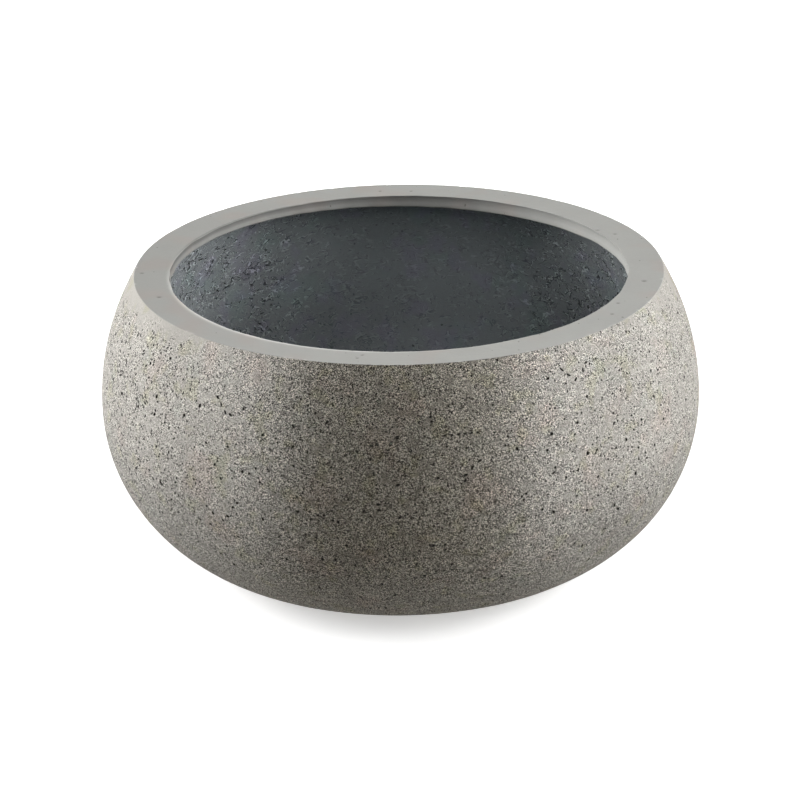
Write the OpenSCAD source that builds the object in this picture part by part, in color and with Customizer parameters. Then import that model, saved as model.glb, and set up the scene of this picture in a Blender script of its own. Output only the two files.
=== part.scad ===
// Round bowl planter of fibre-reinforced concrete, with a turned-in rim, a lined inside and a plugged drain.
// Millimetres, +Z up. The origin is on the floor, in the middle of the bowl.

/* [Bowl] */
// Diameter at the belly, where the bowl is widest
belly_d = 600; // [570:5:640]
// Height from the floor to the top of the rim
total_h = 300; // [280:5:330]
// Height of the belly above the floor
belly_h = 170; // [155:5:185]
// Diameter of the flat underside
base_d = 354; // [330:2:380]
// Thickness of the base, from the underside to the inner floor
base_t = 14; // [12:0.5:20]

/* [Rim] */
// Outer diameter of the rim's flat top
rim_d = 528; // [510:2:545]
// Diameter of the mouth at the top of the lip
mouth_d = 457; // [430:1:480]
// Thickness of the rim, which is also the height of its lip
rim_t = 11; // [9:0.5:15]
// How far the lip leans in from its top edge to its bottom edge
lip_draft = 2.5; // [0:0.25:4]
// Radius of the lip's two worn edges
lip_edge_r = 2; // [1:0.25:3]

/* [Wall] */
// Thickness of the speckled face coat
coat_t = 2.5; // [2:0.25:4]
// Thickness of the glass-fibre mat behind the face coat
mat_t = 0.5; // [0.4:0.1:1]
// Thickness of the structural wall behind the mat
wall_t = 6.5; // [6:0.5:9]
// Thickness of the dark lining on the inside
lining_t = 1; // [0.8:0.1:1.5]

/* [Hoop] */
// Diameter of the wire that keys the rim to the wall
hoop_wire_d = 3.2; // [2:0.2:4]

/* [Drain] */
// Bore of the drain sleeve
drain_d = 22; // [18:1:26]
// Wall thickness of the sleeve
sleeve_t = 2.5; // [2:0.25:4]
// How far the sleeve's flange reaches out past its wall
flange_reach = 7; // [6:0.5:10]
// Thickness of the flange, which lies flush with the inner floor
flange_t = 2.5; // [2:0.25:4]
// How far the two keying ribs stand out from the sleeve
rib_reach = 1.5; // [1:0.25:2]
// Height of each keying rib
rib_h = 1.5; // [1:0.25:2]

/* [Plug] */
// Radial gap between the plug's sealing rings and the bore
plug_gap = 0.08; // [0.02:0.01:0.1]
// Radial gap between the plug's core and the bore
core_gap = 1; // [0.5:0.25:1.5]
// How far the plug's head reaches over the flange
head_reach = 4.5; // [3:0.5:5]
// Thickness of the plug's head
head_t = 4; // [3:0.5:6]
// Gap between the plug's head and the edge of the lining
head_gap = 1; // [0.5:0.25:1.5]
// How far the plug stops short of the underside
plug_setback = 1.5; // [1:0.25:2]
// Height of each sealing ring
seal_h = 1.6; // [1.2:0.2:2]
// Thickness of the finger loop across
loop_t = 4; // [3:0.5:5]
// Outer radius of the finger loop
loop_r = 9; // [8:0.5:10]
// Thickness of the loop's band round its hole
loop_band = 3; // [2:0.5:4]

/* [Feet] */
// Diameter of a foot pad
foot_d = 32; // [24:1:40]
// Thickness of a foot pad, which is the gap under the bowl
foot_t = 3; // [2:0.5:5]
// Distance from the edge of the underside to the middle of a pad
foot_inset = 41; // [36:1:50]
// Radius of a pad's moulded bottom edge
foot_edge_r = 0.8; // [0.4:0.1:1]

/* [Hidden] */
$fn = 96;
// Overlap that cuts run past a face
past = 1;
foot_count = 4;
seal_count = 2;
rib_count = 2;

foot_names = [for (i = [1 : foot_count]) str("foot_pad_", i)];

// Heights
under_z = foot_t;
floor_z = under_z + base_t;
rim_under_z = total_h - rim_t;

// Radii
belly_r = belly_d / 2;
rim_r = rim_d / 2;
base_r = base_d / 2;
mouth_r = mouth_d / 2;

// Depths from the outer face to the back of each layer
coat_back = coat_t;
mat_back = coat_back + mat_t;
wall_back = mat_back + wall_t;

// Radius of the arc that leaves the belly upright and ends at an edge that lies
// `across` nearer the axis and `along` above or below the belly
function sweep_r(across, along) = (across * across + along * along) / (2 * across);

upper_r = sweep_r(belly_r - rim_r, total_h - belly_h);
lower_r = sweep_r(belly_r - base_r, belly_h - under_z);
// Distances of the two arcs' middles from the axis
upper_middle = belly_r - upper_r;
lower_middle = belly_r - lower_r;

// Radius at a height above the belly, on the surface that lies `depth` behind the outer face
function upper_at(z, depth) =
    upper_middle + sqrt(pow(upper_r - depth, 2) - pow(z - belly_h, 2));

// The hoop lies in the middle of the shell's top edge
hoop_at = (upper_at(rim_under_z, mat_back) + upper_at(rim_under_z, wall_back)) / 2;

// Drain
bore_r = drain_d / 2;
sleeve_r = bore_r + sleeve_t;
flange_r = sleeve_r + flange_reach;
flange_z = floor_z - flange_t;
head_r = sleeve_r + head_reach;
lining_hole_r = head_r + head_gap;
seal_r = bore_r - plug_gap;
core_r = bore_r - core_gap;
plug_bottom_z = under_z + plug_setback;
head_top_z = floor_z + head_t;

// Feet
foot_at = base_r - foot_inset;

// ---- Half sections, with X as the distance from the axis and Y as the height ----

// Everything between the axis and an arc about a point at belly height, in a band of heights
module inside_arc(middle, arc_r, low_z, high_z) {
    band_h = high_z - low_z;
    if (middle > 0)
        translate([0, low_z]) square([middle, band_h]);
    intersection() {
        translate([middle, belly_h]) circle(r = arc_r);
        translate([0, low_z]) square([belly_r, band_h]);
    }
}

// Everything inside the surface that lies `depth` behind the outer face
module inside(depth) {
    inside_arc(upper_middle, upper_r - depth, belly_h, total_h);
    inside_arc(lower_middle, lower_r - depth, under_z, belly_h);
}

// The part of inside(depth) between two heights
module inside_between(depth, low_z, high_z) {
    intersection() {
        inside(depth);
        translate([0, low_z]) square([belly_r, high_z - low_z]);
    }
}

// A cup whose wall and base are one layer thick, from `front` to `back` behind the outer face
module layer(front, back, top_z) {
    difference() {
        inside_between(front, under_z + front, top_z);
        inside_between(back, under_z + back, top_z + past);
    }
}

// The mitre between the face coat and the rim: everything above a 45 degree line from the outer arris
module above_mitre() {
    polygon([
        [rim_r, total_h],
        [rim_r - rim_t, rim_under_z],
        [0, rim_under_z],
        [0, total_h]
    ]);
}

// The lip from its edge circles outwards
module lip_section() {
    top_edge = [mouth_r + lip_edge_r, total_h - lip_edge_r];
    low_edge = [mouth_r - lip_draft + lip_edge_r, rim_under_z + lip_edge_r];
    run = (low_edge - top_edge) / norm(low_edge - top_edge);
    // From an edge circle's middle to its tangent point on the lip's face
    reach = lip_edge_r * [run[1], -run[0]];
    translate(top_edge) circle(r = lip_edge_r);
    translate(low_edge) circle(r = lip_edge_r);
    polygon([
        top_edge + reach,
        low_edge + reach,
        low_edge,
        [low_edge[0], rim_under_z],
        [belly_r, rim_under_z],
        [belly_r, total_h],
        [top_edge[0], total_h],
        top_edge
    ]);
}

module rim_section() {
    intersection() {
        lip_section();
        union() {
            inside_between(coat_back, rim_under_z, total_h);
            intersection() {
                inside(0);
                above_mitre();
            }
        }
    }
}

module hoop_section() {
    translate([hoop_at, rim_under_z]) circle(d = hoop_wire_d);
}

// The sleeve with its flange and ribs, filled in to the axis
module sleeve_outline() {
    translate([0, under_z]) square([sleeve_r, base_t]);
    translate([0, flange_z]) square([flange_r, flange_t]);
    rib_pitch = (flange_z - under_z) / (rib_count + 1);
    for (i = [1 : rib_count])
        translate([0, under_z + i * rib_pitch - rib_h / 2]) square([sleeve_r + rib_reach, rib_h]);
}

// The room that the lining covers, `skin` in from the wall, the floor and the rim's underside
module room_section(skin) {
    inside_between(wall_back + skin, floor_z + skin, rim_under_z - skin);
}

module plug_section() {
    stem_top_z = floor_z;
    nose = core_gap;
    // Core with a bevelled nose
    polygon([
        [0, plug_bottom_z],
        [core_r - nose, plug_bottom_z],
        [core_r, plug_bottom_z + nose],
        [core_r, stem_top_z],
        [0, stem_top_z]
    ]);
    seal_pitch = (stem_top_z - plug_bottom_z) / (seal_count + 1);
    for (i = [1 : seal_count])
        translate([0, plug_bottom_z + i * seal_pitch - seal_h / 2]) square([seal_r, seal_h]);
    // Head with a rounded top edge
    head_edge = head_t / 2;
    translate([0, floor_z]) square([head_r, head_t - head_edge]);
    translate([0, floor_z]) square([head_r - head_edge, head_t]);
    intersection() {
        translate([head_r - head_edge, head_top_z - head_edge]) circle(r = head_edge);
        translate([0, floor_z]) square([head_r, head_t]);
    }
}

module foot_section() {
    foot_r = foot_d / 2;
    translate([0, foot_edge_r]) square([foot_r, foot_t - foot_edge_r]);
    square([foot_r - foot_edge_r, foot_t]);
    intersection() {
        translate([foot_r - foot_edge_r, foot_edge_r]) circle(r = foot_edge_r);
        square([foot_r, foot_t]);
    }
}

// ---- Pieces ----

module spun() {
    rotate_extrude() children();
}

module face_coat() {
    color("#a39f97") spun() difference() {
        layer(0, coat_back, total_h);
        above_mitre();
        sleeve_outline();
    }
}

module fibre_mat() {
    color("#d9dccb") spun() difference() {
        layer(coat_back, mat_back, rim_under_z);
        sleeve_outline();
    }
}

module bowl_shell() {
    color("#8f8c86") spun() difference() {
        inside_between(mat_back, under_z + mat_back, rim_under_z);
        inside_between(wall_back, floor_z, rim_under_z + past);
        sleeve_outline();
        hoop_section();
    }
}

module rim_ring() {
    color("#a9a6a0") spun() difference() {
        rim_section();
        hoop_section();
    }
}

module rim_hoop() {
    color("#9aa0a3") spun() hoop_section();
}

module inner_lining() {
    lap_r = mouth_r - lip_draft + lip_edge_r;
    color("#4a4e52") spun() difference() {
        room_section(0);
        room_section(lining_t);
        // Open at the drain and under the mouth
        square([lining_hole_r, belly_h]);
        translate([0, belly_h]) square([lap_r, total_h - belly_h]);
    }
}

module drain_sleeve() {
    color("#2b2c2d") spun() difference() {
        sleeve_outline();
        translate([0, under_z - past]) square([bore_r, base_t + 2 * past]);
    }
}

module finger_loop() {
    hole_r = loop_r - loop_band;
    rotate([90, 0, 0]) translate([0, 0, -loop_t / 2]) linear_extrude(loop_t) difference() {
        union() {
            translate([0, head_top_z + hole_r]) circle(r = loop_r);
            translate([-loop_r, head_top_z - head_t / 2]) square([2 * loop_r, hole_r + head_t / 2]);
        }
        translate([0, head_top_z + hole_r]) circle(r = hole_r);
    }
}

module drain_plug() {
    color("#1d1d1e") union() {
        spun() plug_section();
        finger_loop();
    }
}

module foot_pad(i) {
    color("#202122") rotate(i * 360 / foot_count) translate([foot_at, 0]) spun() foot_section();
}

face_coat();
fibre_mat();
bowl_shell();
rim_ring();
rim_hoop();
inner_lining();
drain_sleeve();
drain_plug();
for (i = [0 : foot_count - 1])
    foot_pad(i);
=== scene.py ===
"""Looks of a cast concrete bowl planter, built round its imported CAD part.

Metres, +Z up. The bowl's axis is Z, the floor is at height 0 and the photograph's camera stands on the
-Y side, as in the CAD part, whose sizes are repeated here.
"""

import logging
import math
from collections.abc import Mapping, Sequence
from dataclasses import dataclass, field
from enum import Enum
from typing import Any

import bpy
import numpy as np
from mathutils import Matrix, Vector


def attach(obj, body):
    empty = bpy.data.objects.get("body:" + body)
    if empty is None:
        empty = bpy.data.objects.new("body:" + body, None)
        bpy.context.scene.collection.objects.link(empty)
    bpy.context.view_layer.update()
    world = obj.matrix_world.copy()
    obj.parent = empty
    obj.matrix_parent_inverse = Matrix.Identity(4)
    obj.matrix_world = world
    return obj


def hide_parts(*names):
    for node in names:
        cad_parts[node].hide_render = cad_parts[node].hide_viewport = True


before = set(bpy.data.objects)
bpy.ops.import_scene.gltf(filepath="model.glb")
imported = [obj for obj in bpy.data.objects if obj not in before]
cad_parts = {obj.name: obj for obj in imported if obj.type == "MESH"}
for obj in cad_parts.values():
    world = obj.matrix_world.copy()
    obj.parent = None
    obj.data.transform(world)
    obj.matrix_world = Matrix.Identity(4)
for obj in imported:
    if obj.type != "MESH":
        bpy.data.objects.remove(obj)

LOG = logging.getLogger("bowl_planter")
MM = 0.001
TURN = 2 * math.pi
IMAGE_SIDE = 800  # pixels of the square picture
SENSOR_WIDTH = 36.0  # millimetres
SHARP_EDGE = math.radians(40)
SKIN = 0.01 * MM  # how near to a level counts as lying on it

Colour = tuple[float, float, float]
Triple = tuple[float, float, float]
Span = tuple[float, float]
Setting = Mapping[str, Any]


class Body(Enum):
    """Bodies of the CAD part that a piece can ride on."""

    BOWL = "bowl"
    STOPPER = "stopper"


class Slot(Enum):
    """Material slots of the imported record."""

    FACE = "concrete_face"
    RIM = "concrete_rim"
    LINING = "dark_lining"
    RUBBER = "black_rubber"
    PAD = "pad_rubber"


class Blend(Enum):
    """Ways in which two colours are mixed."""

    MIX = "MIX"
    MULTIPLY = "MULTIPLY"


# ---- Shader graphs ----


class Expression:
    """A shader socket that takes part in Python arithmetic, each operator adding one Math node."""

    def __init__(self, graph: "ShaderGraph", socket: bpy.types.NodeSocket) -> None:
        """Wraps a socket.

        Args:
            graph: The graph that new nodes go into.
            socket: The output socket that carries the value.
        """
        self.graph = graph
        self.socket = socket

    def _math(self, operation: str, *operands: "Expression | float") -> "Expression":
        """Adds a Math node.

        Args:
            operation: Blender's name of the operation.
            operands: The values or expressions in order.

        Returns:
            The node's result.
        """
        return self.graph.take("ShaderNodeMath", {"operation": operation}, dict(enumerate(operands)))

    def __add__(self, other: "Expression | float") -> "Expression":
        """Sum."""
        return self._math("ADD", self, other)

    def __radd__(self, other: float) -> "Expression":
        """Sum with a number on the left."""
        return self._math("ADD", other, self)

    def __sub__(self, other: "Expression | float") -> "Expression":
        """Difference."""
        return self._math("SUBTRACT", self, other)

    def __rsub__(self, other: float) -> "Expression":
        """Difference with a number on the left, as in 1 - mask."""
        return self._math("SUBTRACT", other, self)

    def __mul__(self, other: "Expression | float") -> "Expression":
        """Product."""
        return self._math("MULTIPLY", self, other)

    def __rmul__(self, other: float) -> "Expression":
        """Product with a number on the left."""
        return self._math("MULTIPLY", other, self)

    def __truediv__(self, other: "Expression | float") -> "Expression":
        """Quotient."""
        return self._math("DIVIDE", self, other)

    def __rtruediv__(self, other: float) -> "Expression":
        """Quotient with a number on the left."""
        return self._math("DIVIDE", other, self)

    def rise(self, low: float, high: float) -> "Expression":
        """Smooth step.

        Args:
            low: Value at which the step starts.
            high: Value at which it is complete; below `low` for a falling step.

        Returns:
            0 at `low` and 1 at `high`, with a soft start and end.
        """
        if low > high:
            return 1 - self.rise(high, low)
        return self.graph.take(
            "ShaderNodeMapRange",
            {"interpolation_type": "SMOOTHSTEP", "clamp": True},
            {"Value": self, "From Min": low, "From Max": high, "To Min": 0.0, "To Max": 1.0},
        )

    def either(self, other: "Expression | float") -> "Expression":
        """The larger of two values."""
        return self._math("MAXIMUM", self, other)


@dataclass(frozen=True)
class Tint:
    """Patches of a tint, which start and are full at two values of a noise of the given size."""

    colour: Colour
    size: float
    start: float
    full: float
    detail: float = 2.0
    turn: Triple | None = None


class ShaderGraph:
    """The node tree of one material or of the world."""

    def __init__(self, owner: bpy.types.Material | bpy.types.World, place: str = "Object") -> None:
        """Starts with an empty tree.

        Args:
            owner: The material or the world that the tree belongs to.
            place: Which of Blender's coordinates the patterns lie in.
        """
        self.owner = owner
        self.owner.use_nodes = True
        self.tree = owner.node_tree
        self.tree.nodes.clear()
        self.place = self.take("ShaderNodeTexCoord", {}, {}, place)

    @classmethod
    def of_material(cls, name: str) -> "ShaderGraph":
        """The tree of a new material."""
        return cls(bpy.data.materials.new(name))

    def add(self, kind: str, settings: Setting, sockets: Mapping[str | int, Any]) -> bpy.types.Node:
        """Adds any node.

        Args:
            kind: The node's type.
            settings: Its settings, set first.
            sockets: Values or expressions by the input's identifier, name or place in order.

        Returns:
            The node.
        """
        node = self.tree.nodes.new(kind)
        for key, value in settings.items():
            setattr(node, key, value)
        for key, value in sockets.items():
            entry = self._find(node.inputs, key)
            if isinstance(value, Expression):
                self.tree.links.new(value.socket, entry)
            else:
                entry.default_value = (*value, 1.0) if entry.type == "RGBA" and len(value) == 3 else value
        return node

    def take(
        self, kind: str, settings: Setting, sockets: Mapping[str | int, Any], output: str | int = 0
    ) -> Expression:
        """Adds a node and takes one of its outputs.

        Args:
            kind: The node's type.
            settings: Its settings.
            sockets: Its input values or links.
            output: The output's identifier, name or place in order.

        Returns:
            The output as an expression.
        """
        return Expression(self, self._find(self.add(kind, settings, sockets).outputs, output))

    @staticmethod
    def _find(sockets: Sequence[bpy.types.NodeSocket], key: str | int) -> bpy.types.NodeSocket:
        """Finds a socket.

        Args:
            sockets: A node's inputs or outputs.
            key: Its place in order, its identifier or its name.

        Returns:
            The socket.
        """
        if isinstance(key, int):
            return sockets[key]
        exact = [s for s in sockets if s.identifier == key]
        return exact[0] if exact else next(s for s in sockets if s.name == key)

    def noise(
        self,
        size: float,
        detail: float = 2.0,
        roughness: float = 0.5,
        warp: float = 0.0,
        place: Expression | None = None,
    ) -> Expression:
        """Soft noise about 0.5.

        Args:
            size: Width of its lumps in metres.
            detail: How many finer layers are added.
            roughness: How strong the finer layers are.
            warp: How much the lumps are twisted.
            place: The coordinates, or the object's own.

        Returns:
            A value from about 0.2 to 0.8.
        """
        return self.take(
            "ShaderNodeTexNoise",
            {},
            {
                "Vector": place or self.place,
                "Scale": 1 / size,
                "Detail": detail,
                "Roughness": roughness,
                "Distortion": warp,
            },
        )

    def cells(self, size: float) -> tuple[Expression, Expression]:
        """Scattered points, pushed about so that the lattice behind them draws no rings on a curved wall.

        Args:
            size: Mean distance between the points in metres.

        Returns:
            The distance to the nearest point, in units of `size`, and that point's random number.
        """
        lump = 8 * size
        reach = 4 * size
        push = self.take(
            "ShaderNodeTexNoise", {}, {"Vector": self.place, "Scale": 1 / lump, "Detail": 0.0}, "Color"
        )
        pushed = self.take(
            "ShaderNodeVectorMath",
            {"operation": "MULTIPLY_ADD"},
            {0: push, 1: (reach, reach, reach), 2: self.place},
            "Vector",
        )
        node = self.add("ShaderNodeTexVoronoi", {"feature": "F1"}, {"Vector": pushed, "Scale": 1 / size})
        colour = Expression(self, self._find(node.outputs, "Color"))
        number = self.take("ShaderNodeSeparateColor", {}, {"Color": colour}, "Red")
        return Expression(self, self._find(node.outputs, "Distance")), number

    def along(self, axis: str) -> Expression:
        """The place along the axis X, Y or Z, in metres."""
        return self.take("ShaderNodeSeparateXYZ", {}, {"Vector": self.place}, axis)

    def turned(self, turn: Triple, scale: Triple = (1.0, 1.0, 1.0)) -> Expression:
        """Turned and stretched coordinates.

        Args:
            turn: Angles about the three axes, in radians.
            scale: Factors along the three axes; below 1 draws a pattern out.

        Returns:
            The coordinates.
        """
        return self.take("ShaderNodeMapping", {}, {"Vector": self.place, "Rotation": turn, "Scale": scale})

    def attribute(self, name: str) -> Expression:
        """A number that the mesh carries at its points."""
        return self.take("ShaderNodeAttribute", {"attribute_name": name}, {}, "Fac")

    def mix(
        self,
        factor: Expression | float,
        low: Expression | Colour,
        high: Expression | Colour,
        way: Blend = Blend.MIX,
    ) -> Expression:
        """Mixes two colours.

        Args:
            factor: 0 for the first colour and 1 for the second.
            low: The first colour.
            high: The second colour.
            way: How they are mixed.

        Returns:
            The colour.
        """
        return self.take(
            "ShaderNodeMix",
            {"data_type": "RGBA", "blend_type": way.value},
            {"Factor_Float": factor, "A_Color": low, "B_Color": high},
            "Result_Color",
        )

    def tinted(self, colour: Expression | Colour, tints: Sequence[Tint]) -> Expression:
        """Multiplies tints into a colour, each in the patches where its own noise is high.

        Args:
            colour: The colour.
            tints: The tints in order.

        Returns:
            The tinted colour.
        """
        for tint in tints:
            place = self.turned(tint.turn) if tint.turn else None
            patches = self.noise(tint.size, tint.detail, place=place).rise(tint.start, tint.full)
            colour = self.mix(patches, colour, tint.colour, Blend.MULTIPLY)
        return colour

    def shade(self, colour: Expression | Colour, factor: Expression) -> Expression:
        """A colour made lighter or darker by a factor."""
        return self.take("ShaderNodeVectorMath", {"operation": "SCALE"}, {"Vector": colour, "Scale": factor})

    def bump(self, height: Expression, depth: float, under: Expression | None = None) -> Expression:
        """Fine relief.

        Args:
            height: The relief from 0 to 1.
            depth: How high 1 stands, in metres.
            under: Relief that it lies on.

        Returns:
            The normal.
        """
        sockets: dict[str | int, Any] = {"Height": height, "Distance": depth}
        if under is not None:
            sockets["Normal"] = under
        return self.take("ShaderNodeBump", {}, sockets)

    def finish(self, **inputs: Any) -> bpy.types.Material:
        """Closes the tree with a Principled shader.

        Args:
            inputs: The shader's inputs, with _ for a space in their names.

        Returns:
            The material.
        """
        named = {key.replace("_", " "): value for key, value in inputs.items()}
        shader = self.take("ShaderNodeBsdfPrincipled", {}, named, "BSDF")
        self.add("ShaderNodeOutputMaterial", {}, {"Surface": shader})
        return self.owner


# ---- Finishes ----


@dataclass(frozen=True)
class FaceZones:
    """Where a point lies: `across` in metres, `side` = (across / rim radius)^2, and the rest as masks."""

    across: Expression
    side: Expression
    low: Expression
    rubbed_and_shaded_relief: Expression
    bald: Expression
    rough: Expression
    warm_shade: Expression


@dataclass(frozen=True)
class SpeckledConcrete:
    """Sandy, pitted concrete: the bowl's outer face, which ends at height `top` and radius `rim_r`."""

    top: float
    rim_r: float
    paste: Colour = (0.295, 0.283, 0.259)
    # Warm colour multiplied in as painted shade at the front and the back
    shade_umber: Colour = (0.79, 0.765, 0.71)
    # Near-black colour painted into the pores, the pits and the hair cracks as the shade inside them
    pore: Colour = (0.020, 0.018, 0.016)
    tints: tuple[Tint, ...] = (
        Tint((0.955, 0.962, 0.87), 21 * MM, 0.55, 0.68),
        Tint((1.02, 0.965, 0.955), 44 * MM, 0.54, 0.70, turn=(0.4, 0.9, 0.2)),
        Tint((0.955, 0.98, 0.975), 30 * MM, 0.57, 0.70, turn=(1.4, 0.3, 0.8)),
    )
    border_size: float = 50 * MM
    border_waver: float = 60 * MM
    side_border: float = 34 * MM
    bald_size: float = 10 * MM
    sand_size: float = 1.05 * MM
    grain_pitch: float = 0.85 * MM
    pore_pitch: float = 3.3 * MM
    side_pore_pitch: float = 4.4 * MM
    crack_size: float = 3.5 * MM
    crack_gap: float = 2.5 * MM
    cloud_size: float = 70 * MM
    mottle_size: float = 24 * MM
    lump_size: float = 9 * MM
    sand_relief: float = 0.7 * MM
    lump_relief: float = 0.6 * MM
    border_bare: float = 32 * MM
    border_sandy: float = 4 * MM
    # Where a zone starts and where it is full, by height or by (across / rim radius)^2
    foot_heights: Span = (2 * MM, 26 * MM)
    low_heights: Span = (200 * MM, 90 * MM)
    warm_shade_heights: Span = (40 * MM, 130 * MM)
    warm_shade_sides: Span = (0.30, 0.0)
    rubbed_and_shaded_relief_sides: Span = (0.70, 0.08)
    # The same by a noise's value, the distance from a grain's middle, or a grain's or a pore's random number
    bald_noise: Span = (0.51, 0.62)
    grain_reach: Span = (0.62, 0.35)
    dark_numbers: Span = (0.54, 0.46)
    open_numbers: Span = (0.57, 0.60)
    large_numbers: Span = (0.53, 0.55)

    def material(self) -> bpy.types.Material:
        """Builds the material: grains of sand, pores with pale halos, hair cracks and the pits of the mesh.

        Returns:
            The material.
        """
        g = ShaderGraph.of_material("speckled_concrete")
        zones = self._zones(g)
        sand = g.noise(self.sand_size, 1.0, 0.6)
        pores, halos = self._pores(g, zones, 0.3 * (sand - 0.5))
        grain = self._grains(g, zones) + 0.4 * halos
        # Painted shade: the warm tint at the front and the back, above the foot
        colour = g.mix(zones.warm_shade, g.tinted(self.paste, self.tints), self.shade_umber, Blend.MULTIPLY)
        colour = g.shade(colour, self._tone(g, zones) + grain * (1 + 0.25 * zones.low))
        # Painted shade: pores and hair cracks darkened to the pore colour
        colour = g.mix(pores.either(0.7 * self._hair_cracks(g, zones)), colour, self.pore)
        # Painted shade in the mesh's pits, by its pit number
        colour = g.mix(g.attribute("pit").rise(0.45, 0.70), colour, self.pore)
        relief = 0.5 + (sand - 0.5) * zones.rough - 0.2 * pores
        lumps = g.bump(g.noise(self.lump_size, 3.0), self.lump_relief)
        normal = g.bump(relief, self.sand_relief, lumps)
        roughness = 0.92 - 0.08 * zones.bald
        return g.finish(Base_Color=colour, Roughness=roughness, Normal=normal, Specular_IOR_Level=0.3)

    def _zones(self, g: ShaderGraph) -> FaceZones:
        """Divides the face.

        Sand shows most at the front and the back, where the mould took the hardest rubbing; there the grains'
        stronger contrast is also painted light and shade of the relief under grazing side light. It hides in
        bald patches, along the foot, and in an uneven border under the rim that is widest at the sides.

        Args:
            g: The graph.

        Returns:
            The zones.
        """
        height, across = g.along("Z"), g.along("X")
        side = across * across / self.rim_r**2
        rubbed_and_shaded_relief = side.rise(*self.rubbed_and_shaded_relief_sides)
        bald = (g.noise(self.bald_size, 1.0) - 0.04 * rubbed_and_shaded_relief).rise(*self.bald_noise)
        border = height + (g.noise(self.border_size, 3.0) - 0.5) * self.border_waver
        under_rim = border + self.side_border * side - 0.02 * across
        rough = under_rim.rise(self.top + self.border_bare, self.top + self.border_sandy)
        rough = rough * border.rise(*self.foot_heights)
        rough = (0.12 + 0.88 * rough) * (1 - 0.55 * bald) * (1.0 + 0.1 * rubbed_and_shaded_relief)
        low = height.rise(*self.low_heights)
        # Painted shade: a warm darkening at the front and the back, above the foot
        warm_shade = side.rise(*self.warm_shade_sides) * height.rise(*self.warm_shade_heights)
        return FaceZones(across, side, low, rubbed_and_shaded_relief, bald, rough, warm_shade)

    def _grains(self, g: ShaderGraph, zones: FaceZones) -> Expression:
        """How much lighter or darker the grains of sand make a point, by the random number of each grain.

        Args:
            g: The graph.
            zones: The zones.

        Returns:
            The change, 0 between the grains.
        """
        spots, number = g.cells(self.grain_pitch)
        grains = spots.rise(*self.grain_reach) * zones.rough
        dark = grains * number.rise(*self.dark_numbers)
        light = grains - dark
        # Stronger at the front and the back, as painted light and shade of the sand's relief under grazing
        # side light
        return (1.35 + 0.90 * zones.rubbed_and_shaded_relief) * light - (1.00 + 0.70 * zones.rubbed_and_shaded_relief) * dark

    def _pores(self, g: ShaderGraph, zones: FaceZones, uneven: Expression) -> tuple[Expression, Expression]:
        """Pores with pale halos, most of them at the front and the back, and larger ones at the sides only.

        Args:
            g: The graph.
            zones: The zones.
            uneven: How much wider or narrower a pore is at a point.

        Returns:
            Masks of the pores and of their halos.
        """
        sandy = zones.rough.rise(0.1, 0.6)
        spots, number = g.cells(self.pore_pitch)
        opened = (number + 0.11 * zones.rubbed_and_shaded_relief + 0.08 * zones.low).rise(*self.open_numbers) * sandy
        reach = 0.11 + 0.30 * number * number - 0.06 * zones.rubbed_and_shaded_relief + uneven
        pores = (reach - spots).rise(-0.02, 0.02) * opened
        halos = (reach + 0.15 - spots).rise(-0.06, 0.06) * opened - pores
        spots, number = g.cells(self.side_pore_pitch)
        reach = 0.15 * zones.side.rise(0.35, 1.0) + 0.14 * number - 0.18 * zones.across + uneven
        large = (reach - spots).rise(-0.015, 0.01) * number.rise(*self.large_numbers) * sandy
        return pores.either(large), halos

    def _hair_cracks(self, g: ShaderGraph, zones: FaceZones) -> Expression:
        """Short, curled cracks as narrow as a hair, along level lines of a noise.

        Args:
            g: The graph.
            zones: The zones.

        Returns:
            A mask.
        """
        flow = g.noise(self.crack_size, 1.0, 0.5, 1.0)
        lines = flow.rise(0.475, 0.490) * flow.rise(0.530, 0.515)
        return lines * g.noise(self.crack_gap, 1.0, 0.6).rise(0.52, 0.57) * zones.rough

    def _tone(self, g: ShaderGraph, zones: FaceZones) -> Expression:
        """Clouds and mottles, with painted light, most of it half way to the sides, and painted shade low
        down and at the outermost edge.

        Args:
            g: The graph.
            zones: The zones.

        Returns:
            A factor for the colour.
        """
        side = zones.side
        tone = 0.86 + 0.18 * g.noise(self.cloud_size, 3.0) + 0.10 * g.noise(self.mottle_size, 2.0)
        # Painted light towards the sides, most half way there; painted shade at the outermost edge and low
        # down at the sides
        tone = tone + 0.07 * side.rise(0.0, 0.4) + 0.20 * side.rise(0.08, 0.3) * side.rise(0.7, 0.4)
        return tone - 0.16 * side.rise(0.8, 1.2) - 0.30 * zones.low * side.rise(0.0, 0.5)


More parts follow.
